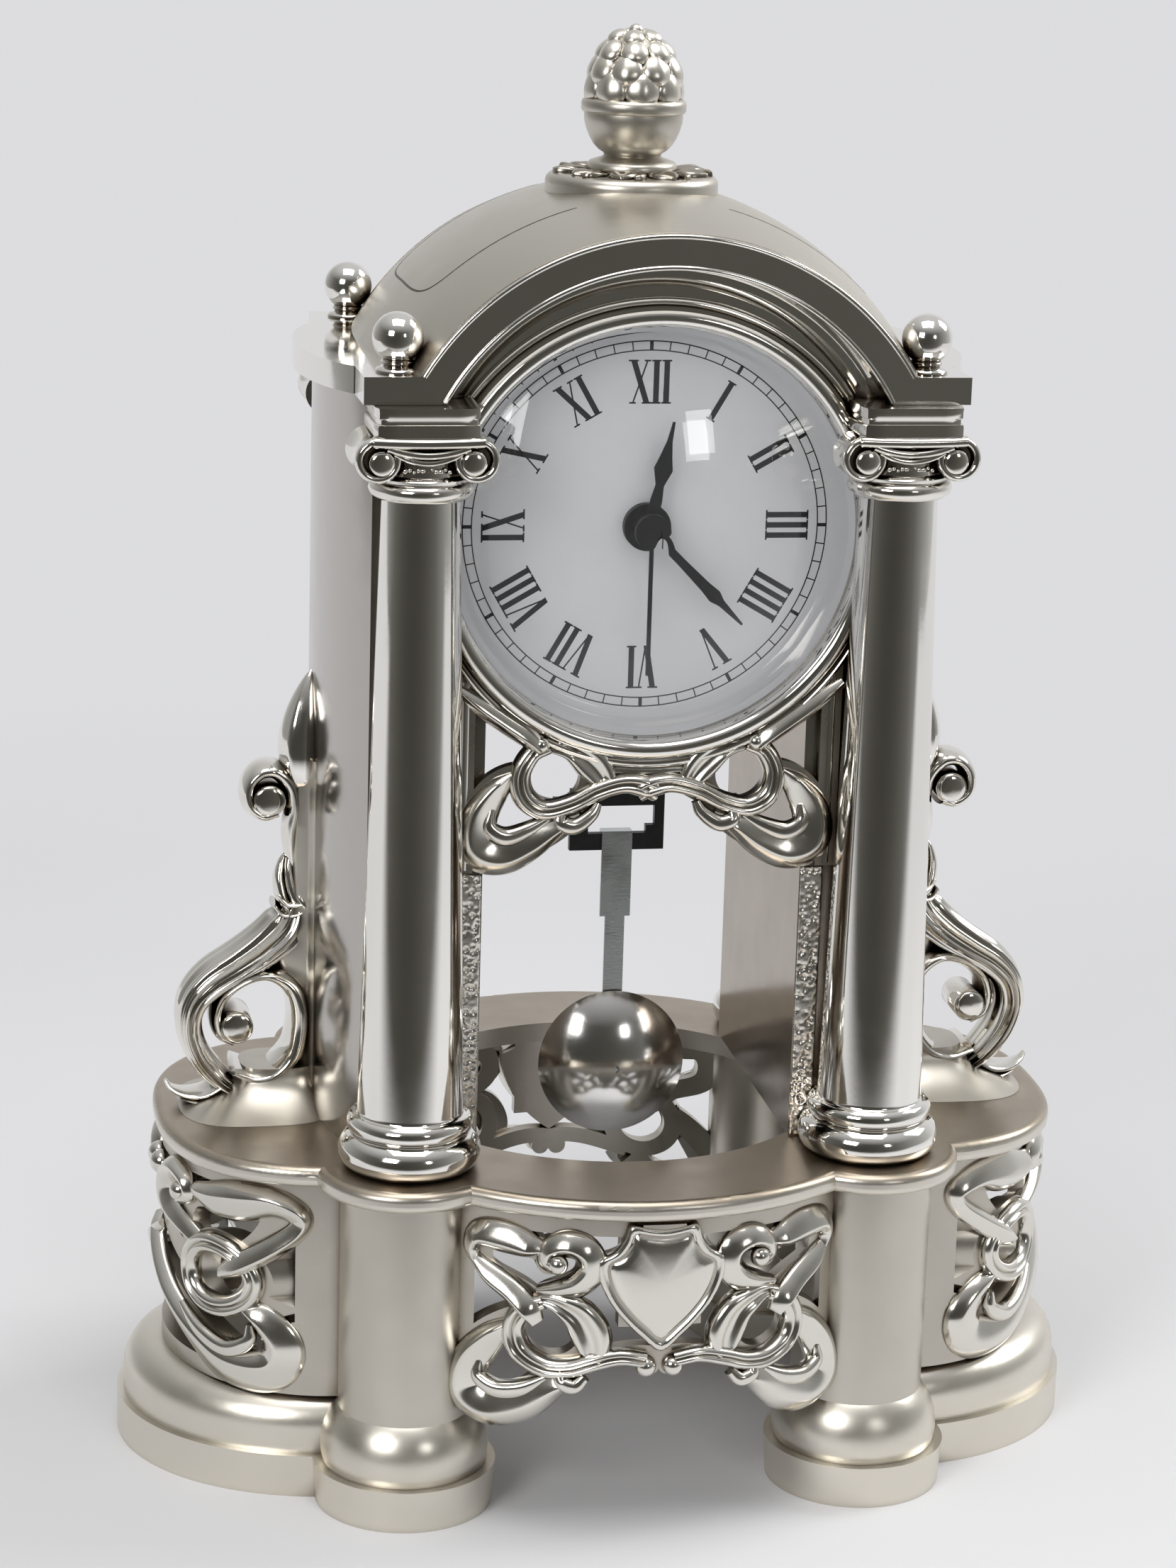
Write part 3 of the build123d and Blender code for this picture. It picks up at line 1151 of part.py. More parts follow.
# Hour wheel with the outer tube, which carries the hour hand
with BuildPart() as hour_wheel:
    with BuildSketch(train_plane(CENTRE_C, HOUR_LAYER + WHEEL_T)):
        with BuildLine():
            Polyline(*gear_points(HOUR_TEETH, HOUR_M, MOTION_ANGLE, WHEEL_TIP, WHEEL_ROOT), close=True)
        make_face()
    extrude(amount=WHEEL_T)
    with BuildSketch(train_plane(CENTRE_C, HOUR_LAYER + WHEEL_T)):
        Circle(HOUR_TUBE_R)
    extrude(amount=HOUR_LAYER + WHEEL_T - HOUR_HAND_Y + HAND_T)
    with BuildSketch(train_plane(CENTRE_C, HOUR_LAYER + WHEEL_T)):
        Circle(CENTRE_TUBE_R + RUN)
    extrude(amount=HOUR_LAYER + WHEEL_T - HOUR_HAND_Y + HAND_T, mode=Mode.SUBTRACT)
hour_wheel.part.label = "hour_wheel"
export_step(hour_wheel.part, "parts/hour_wheel.step")

# Third wheel between the second pinion and the centre wheel
with BuildPart() as third_wheel:
    with BuildSketch(train_plane(THIRD_C, THIRD_LAYER + WHEEL_T)):
        with BuildLine():
            Polyline(*gear_points(THIRD_TEETH, TRAIN_M, THIRD_ANGLE + 180, WHEEL_TIP, WHEEL_ROOT), close=True)
        make_face()
    extrude(amount=WHEEL_T)
    with BuildSketch(train_plane(THIRD_C, CENTRE_LAYER + WHEEL_T + PINION_LAP)):
        with BuildLine():
            Polyline(*gear_points(THIRD_LEAVES, CENTRE_M, THIRD_ANGLE + 180 + 180 / THIRD_LEAVES, PINION_TIP,
                                  PINION_ROOT), close=True)
        make_face()
    extrude(amount=PINION_T)
    with BuildSketch(train_plane(THIRD_C, ARBOR_BACK)):
        Circle(ARBOR_R)
    extrude(amount=ARBOR_BACK - ARBOR_FRONT)
third_wheel.part.label = "third_wheel"
export_step(third_wheel.part, "parts/third_wheel.step")

# Intermediate wheel between the rotor and the second wheel
with BuildPart() as intermediate_wheel:
    with BuildSketch(train_plane(INTER_C, INTER_LAYER + WHEEL_T)):
        with BuildLine():
            Polyline(*gear_points(INTER_TEETH, INPUT_M, ROTOR_ANGLE, WHEEL_TIP, WHEEL_ROOT), close=True)
        make_face()
    extrude(amount=WHEEL_T)
    with BuildSketch(train_plane(INTER_C, SECOND_LAYER + WHEEL_T + PINION_LAP)):
        with BuildLine():
            Polyline(*gear_points(INTER_LEAVES, INPUT_M, INTER_ANGLE + 180 + 180 / INTER_LEAVES, PINION_TIP,
                                  PINION_ROOT), close=True)
        make_face()
    extrude(amount=PINION_T)
    with BuildSketch(train_plane(INTER_C, ARBOR_BACK)):
        Circle(ARBOR_R)
    extrude(amount=ARBOR_BACK - ARBOR_FRONT)
intermediate_wheel.part.label = "intermediate_wheel"
export_step(intermediate_wheel.part, "parts/intermediate_wheel.step")

# Rotor: a round magnet and a pinion on one arbor
with BuildPart() as rotor:
    with BuildSketch(train_plane(ROTOR_C, INTER_LAYER + WHEEL_T + PINION_LAP)):
        with BuildLine():
            Polyline(*gear_points(ROTOR_LEAVES, INPUT_M, ROTOR_ANGLE + 180 + 180 / ROTOR_LEAVES, PINION_TIP,
                                  PINION_ROOT), close=True)
        make_face()
    extrude(amount=PINION_T)
    with BuildSketch(train_plane(ROTOR_C, MAGNET_LAYER + MAGNET_T)):
        Circle(ROTOR_R)
    extrude(amount=MAGNET_T)
    with BuildSketch(train_plane(ROTOR_C, ARBOR_BACK)):
        Circle(ARBOR_R)
    extrude(amount=ARBOR_BACK - ARBOR_FRONT)
rotor.part.label = "rotor"
export_step(rotor.part, "parts/rotor.step")

# Motion wheel: steps the minute tube down to the hour wheel and carries the setting knob
KNOB_FRONT = CASE_BACK + 0.5
with BuildPart() as motion_wheel:
    with BuildSketch(train_plane(MOTION_C, MOTION_LAYER + WHEEL_T)):
        with BuildLine():
            Polyline(*gear_points(MOTION_TEETH, MOTION_M, MOTION_ANGLE + 180, WHEEL_TIP, WHEEL_ROOT),
                     close=True)
        make_face()
    extrude(amount=WHEEL_T)
    with BuildSketch(train_plane(MOTION_C, HOUR_LAYER + WHEEL_T + PINION_LAP)):
        with BuildLine():
            Polyline(*gear_points(MOTION_LEAVES, HOUR_M, MOTION_ANGLE + 180 + 180 / MOTION_LEAVES, PINION_TIP,
                                  PINION_ROOT), close=True)
        make_face()
    extrude(amount=PINION_T)
    with BuildSketch(train_plane(MOTION_C, KNOB_FRONT + KNOB_T)):
        Circle(KNOB_R)
    extrude(amount=KNOB_T)
    with BuildSketch(train_plane(MOTION_C, KNOB_FRONT)):
        Circle(ARBOR_R)
    extrude(amount=KNOB_FRONT - ARBOR_FRONT)
motion_wheel.part.label = "motion_wheel"
export_step(motion_wheel.part, "parts/motion_wheel.step")

# Stepper coil on its stator plate
STATOR_T = 1.2
STATOR_BACK = MAGNET_LAYER + 1.6
STATOR_LEFT = -CASE_W / 2 + CASE_WALL + 0.6
STATOR_RIGHT = INTER_C[0] - 1.6
COIL_R = 2.1
COIL_RISE = ROTOR_C[1] + ROTOR_R + COIL_R + 2.0
with BuildPart() as motor_coil:
    with BuildSketch(train_plane(CENTRE_C, STATOR_BACK)):
        with Locations(((STATOR_LEFT + STATOR_RIGHT) / 2, (ROTOR_C[1] - 5 + COIL_RISE) / 2)):
            Rectangle(STATOR_RIGHT - STATOR_LEFT, COIL_RISE - ROTOR_C[1] + 5)
        with Locations(ROTOR_C):
            Circle(ROTOR_R + 0.4, mode=Mode.SUBTRACT)
    extrude(amount=STATOR_T)
    with BuildSketch(Plane(origin=(STATOR_LEFT, STATOR_BACK - STATOR_T / 2 - 0.3, DIAL_Z + COIL_RISE),
                           x_dir=(0, 1, 0), z_dir=(1, 0, 0))):
        Circle(COIL_R)
    extrude(amount=STATOR_RIGHT - STATOR_LEFT)
    with BuildSketch(train_plane(CENTRE_C, BRIDGE_FRONT)):
        with Locations((STATOR_LEFT + 1.5, ROTOR_C[1] - 3), (STATOR_RIGHT - 1.5, COIL_RISE - 1.2)):
            Circle(1.1)
    extrude(amount=BRIDGE_FRONT - STATOR_BACK)
motor_coil.part.label = "motor_coil"
export_step(motor_coil.part, "parts/motor_coil.step")

# Circuit board on the bridge, below the motor
BOARD_W = 15.0
BOARD_H = 13.0
BOARD_T = 1.0
BOARD_GAP = 1.3
BOARD_X = -CASE_W / 2 + CASE_WALL + BOARD_GAP + BOARD_W / 2
with BuildPart() as circuit_board:
    with BuildSketch(at_y(BRIDGE_FRONT)):
        with Locations((BOARD_X, BRIDGE_BOTTOM + 8.0)):
            Rectangle(BOARD_W, BOARD_H)
    extrude(amount=BOARD_T)
    with BuildSketch(at_y(BRIDGE_FRONT - BOARD_T)):
        with Locations((BOARD_X - 2.0, BRIDGE_BOTTOM + 9.0)):
            Circle(2.6)
        with Locations((BOARD_X + 4.0, BRIDGE_BOTTOM + 6.0)):
            Rectangle(2.0, 6.0)
    extrude(amount=1.0)
circuit_board.part.label = "circuit_board"
export_step(circuit_board.part, "parts/circuit_board.step")

# Battery cell and its two contacts
with BuildPart() as battery:
    with BuildSketch(Plane(origin=(-CELL_L / 2, CELL_Y, CELL_Z), x_dir=(0, 1, 0), z_dir=(1, 0, 0))):
        Circle(CELL_R)
    extrude(amount=CELL_L - 1.0)
    with BuildSketch(Plane(origin=(CELL_L / 2 - 1.0, CELL_Y, CELL_Z), x_dir=(0, 1, 0), z_dir=(1, 0, 0))):
        Circle(2.6)
    extrude(amount=1.0)
battery.part.label = "battery"
export_step(battery.part, "parts/battery.step")

CONTACT_X = CASE_W / 2 - CASE_WALL
CONTACT_SIDE = 9.0
CONTACT_T = 0.4
CONTACT_PIP_R = 2.2
with BuildPart() as battery_contacts:
    for side in (-1, 1):
        with BuildSketch(Plane(origin=(side * CONTACT_X, CELL_Y, CELL_Z), x_dir=(0, 1, 0),
                               z_dir=(-side, 0, 0))):
            Rectangle(CONTACT_SIDE, CONTACT_SIDE)
        extrude(amount=CONTACT_T)
        with BuildSketch(Plane(origin=(side * CONTACT_X, CELL_Y, CELL_Z), x_dir=(0, 1, 0),
                               z_dir=(-side, 0, 0))):
            Circle(CONTACT_PIP_R)
        extrude(amount=CONTACT_X - CELL_L / 2 - SEAT)
battery_contacts.part.label = "battery_contacts"
export_step(battery_contacts.part, "parts/battery_contacts.step")


# Hands: flat blades, each on the end of its tube or arbor
def hand_plane(y, angle):
    """Plane of a hand, its X axis running along the blade."""
    a = math.radians(clock_dir(angle))
    return Plane(origin=(0, y, DIAL_Z), x_dir=(math.cos(a), 0, math.sin(a)), z_dir=(0, -1, 0))


with BuildPart() as hour_hand:
    with BuildSketch(hand_plane(HOUR_HAND_Y, HOUR_AT)):
        with BuildLine():
            Polyline((1.0, 1.0), (5.0, 1.0), (0.41 * HOUR_HAND_L, 0.7), (0.56 * HOUR_HAND_L, 1.6),
                     (0.67 * HOUR_HAND_L, 1.05), (0.82 * HOUR_HAND_L, 0.45), (HOUR_HAND_L, 0.2),
                     (HOUR_HAND_L, 0))
            Line((HOUR_HAND_L, 0), (1.0, 0))
            Line((1.0, 0), (1.0, 1.0))
        make_face()
        mirror(about=Plane.XZ)
        Circle(3.2)
        Circle(HOUR_TUBE_R, mode=Mode.SUBTRACT)
    extrude(amount=HAND_T)
hour_hand.part.label = "hour_hand"
export_step(hour_hand.part, "parts/hour_hand.step")

with BuildPart() as minute_hand:
    with BuildSketch(hand_plane(MINUTE_HAND_Y, MINUTE_AT)):
        with BuildLine():
            Polyline((1.0, 0.7), (0.35 * MINUTE_HAND_L, 0.75), (0.6 * MINUTE_HAND_L, 0.95),
                     (0.7 * MINUTE_HAND_L, 1.2), (0.77 * MINUTE_HAND_L, 0.65), (MINUTE_HAND_L, 0.2),
                     (MINUTE_HAND_L, 0))
            Line((MINUTE_HAND_L, 0), (1.0, 0))
            Line((1.0, 0), (1.0, 0.7))
        make_face()
        mirror(about=Plane.XZ)
        Circle(3.0)
        Circle(CENTRE_TUBE_R, mode=Mode.SUBTRACT)
    extrude(amount=HAND_T)
minute_hand.part.label = "minute_hand"
export_step(minute_hand.part, "parts/minute_hand.step")

CAP_R = 3.0
CAP_T = 1.2
with BuildPart() as second_hand:
    with BuildSketch(hand_plane(SECOND_HAND_Y, SECOND_AT)):
        with Locations((SECOND_HAND_L / 2, 0)):
            Rectangle(SECOND_HAND_L, 0.7)
        Circle(CAP_R)
        Circle(ARBOR_R, mode=Mode.SUBTRACT)
    extrude(amount=HAND_T)
    with BuildSketch(hand_plane(SECOND_HAND_Y - HAND_T, SECOND_AT)):
        Circle(CAP_R)
    extrude(amount=CAP_T)
second_hand.part.label = "second_hand"
export_step(second_hand.part, "parts/second_hand.step")

# Pendulum hanger: a plastic lever with a pivot eye above and an open frame below
FRAME_MID = (HANGER_TOP + HANGER_BOTTOM) / 2
with BuildPart() as pendulum_hanger:
    with BuildSketch(at_y(HANGER_BACK)):
        with Locations((0, FRAME_MID)):
            Rectangle(HANGER_W, HANGER_TOP - HANGER_BOTTOM)
        with Locations((0, (PIVOT_Z + HANGER_TOP) / 2)):
            Rectangle(HANGER_ARM, PIVOT_Z - HANGER_TOP + 1)
        with Locations((0, PIVOT_Z)):
            Circle(4.0)
        with Locations((0, HANGER_BOTTOM + HANGER_BAR + WINDOW_H / 2 + 0.7)):
            Rectangle(HANGER_W - 2 * HANGER_SIDE, WINDOW_H - 1.4, mode=Mode.SUBTRACT)
        with Locations((0, HANGER_BOTTOM + HANGER_BAR + WINDOW_H / 2)):
            Rectangle(HANGER_W - 2 * HANGER_SIDE - 3.0, WINDOW_H, mode=Mode.SUBTRACT)
        with Locations((0, PIVOT_Z)):
            Circle(PIVOT_R + RUN, mode=Mode.SUBTRACT)
    extrude(amount=HANGER_T)
pendulum_hanger.part.label = "pendulum_hanger"
export_step(pendulum_hanger.part, "parts/pendulum_hanger.step")

# Pendulum rod: a bent steel strip hooked over the hanger's lower bar
HANGER_FRONT = HANGER_BACK - HANGER_T
BAR_TOP = HANGER_BOTTOM + HANGER_BAR
with BuildPart() as pendulum_rod:
    with BuildSketch(Plane.YZ.offset(-STRIP_W / 2)):
        with BuildLine():
            Polyline(
                (HANGER_FRONT, STRIP_STEP_Z),
                (HANGER_FRONT, BAR_TOP),
                (HANGER_BACK, BAR_TOP),
                (HANGER_BACK, HANGER_BOTTOM + 0.4),
                (HANGER_BACK + STRIP_T, HANGER_BOTTOM + 0.4),
                (HANGER_BACK + STRIP_T, BAR_TOP + STRIP_T),
                (HANGER_FRONT - STRIP_T, BAR_TOP + STRIP_T),
                (HANGER_FRONT - STRIP_T, STRIP_STEP_Z),
                close=True,
            )
        make_face()
    extrude(amount=STRIP_W)
    with BuildSketch(at_y(HANGER_FRONT)):
        with Locations((0, (STRIP_STEP_Z + BOB_Z) / 2)):
            Rectangle(STRIP_LOW_W, STRIP_STEP_Z - BOB_Z)
    extrude(amount=STRIP_T)
pendulum_rod.part.label = "pendulum_rod"
export_step(pendulum_rod.part, "parts/pendulum_rod.step")

# Bob: a polished dome on the foot of the rod
BOB_BACK = HANGER_FRONT - STRIP_T
BOB_EDGE = 0.5
BOB_MID = cap_mid(BOB_R, BOB_T - BOB_EDGE)
with BuildPart() as pendulum_bob:
    with BuildSketch(Plane(origin=(0, 0, BOB_Z), x_dir=(0, 1, 0), z_dir=(1, 0, 0))):
        with BuildLine():
            Line((BOB_BACK, 0), (BOB_BACK, BOB_R - BOB_EDGE))
            Line((BOB_BACK, BOB_R - BOB_EDGE), (BOB_BACK - BOB_EDGE, BOB_R))
            ThreePointArc((BOB_BACK - BOB_EDGE, BOB_R), (BOB_BACK - BOB_T + BOB_MID[0], BOB_MID[1]),
                          (BOB_BACK - BOB_T, 0))
            Line((BOB_BACK - BOB_T, 0), (BOB_BACK, 0))
        make_face()
    revolve(axis=Axis((0, 0, BOB_Z), (0, 1, 0)))
pendulum_bob.part.label = "pendulum_bob"
export_step(pendulum_bob.part, "parts/pendulum_bob.step")
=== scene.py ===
"""Silver desk pendulum clock: looks, light and camera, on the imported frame."""
import math
import bmesh
import bpy
from mathutils import Matrix, Vector, noise


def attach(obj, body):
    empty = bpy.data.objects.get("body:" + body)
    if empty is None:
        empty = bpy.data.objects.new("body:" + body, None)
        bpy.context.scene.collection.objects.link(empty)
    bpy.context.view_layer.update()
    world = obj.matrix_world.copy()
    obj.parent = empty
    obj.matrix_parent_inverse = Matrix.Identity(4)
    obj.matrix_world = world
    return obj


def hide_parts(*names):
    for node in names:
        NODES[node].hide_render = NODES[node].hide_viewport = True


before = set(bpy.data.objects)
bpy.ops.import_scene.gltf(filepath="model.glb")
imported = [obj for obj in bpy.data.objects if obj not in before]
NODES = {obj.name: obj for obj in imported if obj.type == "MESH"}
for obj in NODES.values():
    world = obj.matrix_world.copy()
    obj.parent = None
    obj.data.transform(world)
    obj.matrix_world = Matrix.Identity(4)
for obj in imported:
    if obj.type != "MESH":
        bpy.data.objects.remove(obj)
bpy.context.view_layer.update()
SCENE = bpy.context.scene
MM = 0.001

# Sizes shared with the solids, in millimetres
POST_X, POST_Y = 40.0, 34.3
DECK_TOP = 61.0
APRON_R, APRON_SHIFT = 48.5, 6.5
PANEL_X, PANEL_A, PANEL_B = 50.0, 29.0, 31.0
WALL_FACE, WALL_IN = 28.0, 27.5
CAPITAL_Z = 175.5
CORNICE_TOP = 195.7
BALL_X, BALL_Y = 44.0, 32.7
ARCH_Z, ARCH_IN, BLOCK_FRONT = 171.0, 42.2, 39.0
ROOF_CREST, ROOF_CURVE = 52.5, 310.0
DISC_TOP = 224.7
DIAL_Z, DIAL_FACE = 168.0, -21.0
FASCIA_Y = 28.0
CORNERS = {"front_left": (-1, -1), "front_right": (1, -1), "rear_left": (-1, 1), "rear_right": (1, 1)}


# Shader nodes

def shader(name):
    m = bpy.data.materials.new(name)
    m.use_nodes = True
    return m, m.node_tree, m.node_tree.nodes["Principled BSDF"]


def grain(tree, scale, detail=2.0, stretch=(1, 1, 1)):
    coord = tree.nodes.new("ShaderNodeTexCoord")
    place = tree.nodes.new("ShaderNodeMapping")
    place.inputs["Scale"].default_value = stretch
    n = tree.nodes.new("ShaderNodeTexNoise")
    n.inputs["Scale"].default_value = scale
    n.inputs["Detail"].default_value = detail
    tree.links.new(coord.outputs["Object"], place.inputs["Vector"])
    tree.links.new(place.outputs["Vector"], n.inputs["Vector"])
    return n.outputs["Fac"]


def map_range(tree, value, start, end, low=0.0, high=1.0, smooth=False):
    r = tree.nodes.new("ShaderNodeMapRange")
    if smooth:
        r.interpolation_type = "SMOOTHSTEP"
    r.inputs["From Min"].default_value = start
    r.inputs["From Max"].default_value = end
    r.inputs["To Min"].default_value = low
    r.inputs["To Max"].default_value = high
    tree.links.new(value, r.inputs["Value"])
    return r.outputs["Result"]


def spread(tree, value, low, high):
    """Stretches the middle of a noise over the range from low to high."""
    return map_range(tree, value, 0.3, 0.7, low, high)


def bump(tree, bsdf, height, strength, distance):
    b = tree.nodes.new("ShaderNodeBump")
    b.inputs["Strength"].default_value = strength
    b.inputs["Distance"].default_value = distance
    tree.links.new(height, b.inputs["Height"])
    tree.links.new(b.outputs["Normal"], bsdf.inputs["Normal"])


def ramp(tree, value, stops):
    r = tree.nodes.new("ShaderNodeValToRGB")
    e = r.color_ramp.elements
    while len(e) < len(stops):
        e.new(0.5)
    for k, (at, colour) in enumerate(stops):
        e[k].position = at
        e[k].color = (*colour, 1.0)
    tree.links.new(value, r.inputs["Fac"])
    return r.outputs["Color"]


def maths(tree, kind, operation, *values):
    """A Math or VectorMath node, fed by sockets and constants."""
    n = tree.nodes.new("ShaderNode" + kind)
    n.operation = operation
    for socket, value in zip(n.inputs, values):
        if isinstance(value, tuple):
            socket.default_value = value
        else:
            tree.links.new(value, socket)
    return n.outputs["Value"]


def axes_of(tree, vector):
    n = tree.nodes.new("ShaderNodeSeparateXYZ")
    tree.links.new(vector, n.inputs["Vector"])
    return n.outputs


def mix_colour(tree, factor, first, second):
    n = tree.nodes.new("ShaderNodeMix")
    n.data_type = "RGBA"
    tree.links.new(factor, n.inputs["Factor"])
    for socket, value in ((n.inputs[6], first), (n.inputs[7], second)):
        if isinstance(value, tuple):
            socket.default_value = (*value, 1)
        else:
            tree.links.new(value, socket)
    return n.outputs[2]


def mix_shader(tree, factor, first, second):
    n = tree.nodes.new("ShaderNodeMixShader")
    for socket, value in zip(n.inputs, (factor, first, second)):
        tree.links.new(value, socket)
    return n.outputs["Shader"]


# Materials

TARNISH = (0.17, 0.125, 0.085)
DARK_TARNISH = (0.05, 0.04, 0.03)
EVEN = (1, 1, 1)
BRUSHED = (1, 1, 0.12)


def silver(name, tint, rough, vary=0.04, fine=2500, strength=0.02, tarnish=TARNISH, reach=6,
           stops=(0.15, 0.6), stretch=EVEN):
    """Silver with a fine grain, an uneven polish and brown tarnish where it is hard to reach."""
    m, t, b = shader(name)
    b.inputs["Metallic"].default_value = 1.0
    shade = t.nodes.new("ShaderNodeAmbientOcclusion")
    shade.samples = 16
    shade.inputs["Distance"].default_value = reach * MM
    colour = ramp(t, shade.outputs["AO"], [(stops[0], tarnish), (stops[1], tint)])
    t.links.new(colour, b.inputs["Base Color"])
    t.links.new(spread(t, grain(t, 160, 4), rough - vary, rough + vary), b.inputs["Roughness"])
    bump(t, b, grain(t, fine, 3, stretch), strength, 0.0002)
    return m


SATIN = silver("satin_silver", (0.61, 0.577, 0.512), 0.36, stops=(0.12, 0.55), stretch=BRUSHED)
# The plinths take a brighter copy of the satin silver: painted light
PLINTH = silver("plinth_silver", (0.76, 0.72, 0.64), 0.34, stops=(0.12, 0.55), stretch=BRUSHED)
DECK = silver("deck_silver", (0.72, 0.68, 0.61), 0.33, 0.05, strength=0.025, reach=9, stops=(0.15, 0.7))
WALL = silver("wall_silver", (0.53, 0.505, 0.475), 0.17, 0.03, fine=3000, reach=7, stretch=BRUSHED)
# The pierced plates take a darker copy of the satin silver: painted shade
WEB = silver("web_silver", (0.52, 0.487, 0.43), 0.30, strength=0.025, reach=5, stops=(0.22, 0.72))
POLISH = silver("polished_silver", (0.90, 0.88, 0.835), 0.085, 0.03, fine=900, strength=0.012)
ORNAMENT = silver("ornament_silver", (0.86, 0.835, 0.78), 0.11, fine=1400, tarnish=(0.11, 0.08, 0.055),
                  reach=4, stops=(0.2, 0.62))
SCROLL = silver("scroll_silver", (0.77, 0.745, 0.69), 0.17, fine=1400, strength=0.015,
                tarnish=(0.12, 0.09, 0.06), reach=3, stops=(0.15, 0.55))
SCALES = silver("scale_silver", (0.78, 0.745, 0.67), 0.31, fine=1400, tarnish=(0.10, 0.075, 0.05), reach=2)
ROSETTE = silver("rosette_silver", (0.46, 0.42, 0.36), 0.28, 0.06, fine=1400, strength=0.04,
                 tarnish=DARK_TARNISH, reach=3, stops=(0.3, 0.85))
PITTED = silver("pitted_silver", (0.80, 0.77, 0.72), 0.26, 0.06, strength=0.1, tarnish=DARK_TARNISH,
                reach=1.2, stops=(0.3, 0.75))
BOB_METAL = silver("bob_metal", (0.86, 0.85, 0.83), 0.14, 0.03, fine=1200, reach=2, stops=(0.1, 0.5))
STRIP_METAL = silver("strip_metal", (0.60, 0.63, 0.63), 0.26, 0.06, fine=3000, strength=0.06, reach=1,
                     stops=(0.1, 0.5), stretch=(0.2, 1, 1))


def paint_shade(m, factor, tint, dark):
    """Blends a cloudy, darker tint into a material where the factor is high: painted shade."""
    t, b = m.node_tree, m.node_tree.nodes["Principled BSDF"]
    clouds = ramp(t, grain(t, 90, 4), [(0.3, tuple(dark * v for v in tint)), (0.7, tint)])
    unshaded = b.inputs["Base Color"].links[0].from_socket
    t.links.new(mix_colour(t, factor, unshaded, clouds), b.inputs["Base Color"])


def shade_top(m, tint):
    """Paints shade on the faces that look up: a darker, browner tint."""
    t = m.node_tree
    normal = axes_of(t, t.nodes.new("ShaderNodeNewGeometry").outputs["True Normal"])
    paint_shade(m, spread(t, normal["Z"], 0.0, 1.0), tint, 0.88)


def shade_inside(m, tint):
    """Paints shade on the faces that look towards the middle of the case: a darker, browner tint."""
    t = m.node_tree
    normal = axes_of(t, t.nodes.new("ShaderNodeNewGeometry").outputs["True Normal"])
    spot = axes_of(t, t.nodes.new("ShaderNodeTexCoord").outputs["Object"])
    outward = maths(t, "Math", "MULTIPLY", normal["X"], spot["X"])
    paint_shade(m, map_range(t, outward, 0.002, -0.015), tint, 0.86)


# Painted shade: the deck's upward faces drawn darker and browner
shade_top(DECK, (0.47, 0.405, 0.325))
# Painted shade: the walls' faces towards the middle of the case drawn darker and browner
shade_inside(WALL, (0.40, 0.335, 0.275))


def matte(name, colour, dark, rough, scale, strength, metallic=0.0, shine=0.5):
    """A painted, printed or moulded surface with a slightly uneven tone and gloss."""
    m, t, b = shader(name)
    b.inputs["Metallic"].default_value = metallic
    t.links.new(ramp(t, grain(t, scale, 4), [(0.35, dark), (0.65, colour)]), b.inputs["Base Color"])
    t.links.new(spread(t, grain(t, scale * 2, 3), rough * 0.85, rough * 1.15), b.inputs["Roughness"])
    b.inputs["Specular IOR Level"].default_value = shine
    bump(t, b, grain(t, scale * 8, 2), strength, 0.0001)
    return m


DIAL_WHITE = matte("dial_white", (0.85, 0.85, 0.858), (0.83, 0.83, 0.84), 0.42, 120, 0.02)
INK = matte("dial_ink", (0.018, 0.018, 0.021), (0.012, 0.012, 0.014), 0.5, 300, 0.02, shine=0.2)
BLACK_METAL = matte("black_metal", (0.006, 0.006, 0.007), (0.003, 0.003, 0.004), 0.35, 400, 0.04, shine=0.15)
BLACK_PLASTIC = matte("black_plastic", (0.013, 0.013, 0.014), (0.008, 0.008, 0.009), 0.38, 500, 0.1)
GEAR = matte("gear_plastic", (0.72, 0.70, 0.62), (0.66, 0.63, 0.55), 0.4, 400, 0.05)
MAGNET = matte("magnet", (0.09, 0.09, 0.10), (0.05, 0.05, 0.06), 0.35, 500, 0.1, 1.0)
COIL = matte("coil", (0.72, 0.31, 0.13), (0.45, 0.17, 0.07), 0.3, 1500, 0.4, 1.0)
BOARD = matte("board", (0.03, 0.16, 0.08), (0.02, 0.11, 0.05), 0.45, 400, 0.1)
CELL = matte("cell", (0.10, 0.11, 0.13), (0.07, 0.08, 0.10), 0.3, 300, 0.03)
CONTACT = matte("contact", (0.78, 0.74, 0.66), (0.66, 0.62, 0.55), 0.22, 400, 0.05, 1.0)
LINE_DARK = matte("engraved_line", (0.10, 0.085, 0.075), (0.06, 0.05, 0.045), 0.4, 500, 0.1, 1.0)


def clear_glass():
    m, t, b = shader("clear_glass")
    b.inputs["Base Color"].default_value = (0.985, 0.99, 0.99, 1)
    b.inputs["Transmission Weight"].default_value = 1.0
    b.inputs["IOR"].default_value = 1.46
    t.links.new(spread(t, grain(t, 60, 2), 0.0, 0.012), b.inputs["Roughness"])
    return m


GLASS = clear_glass()

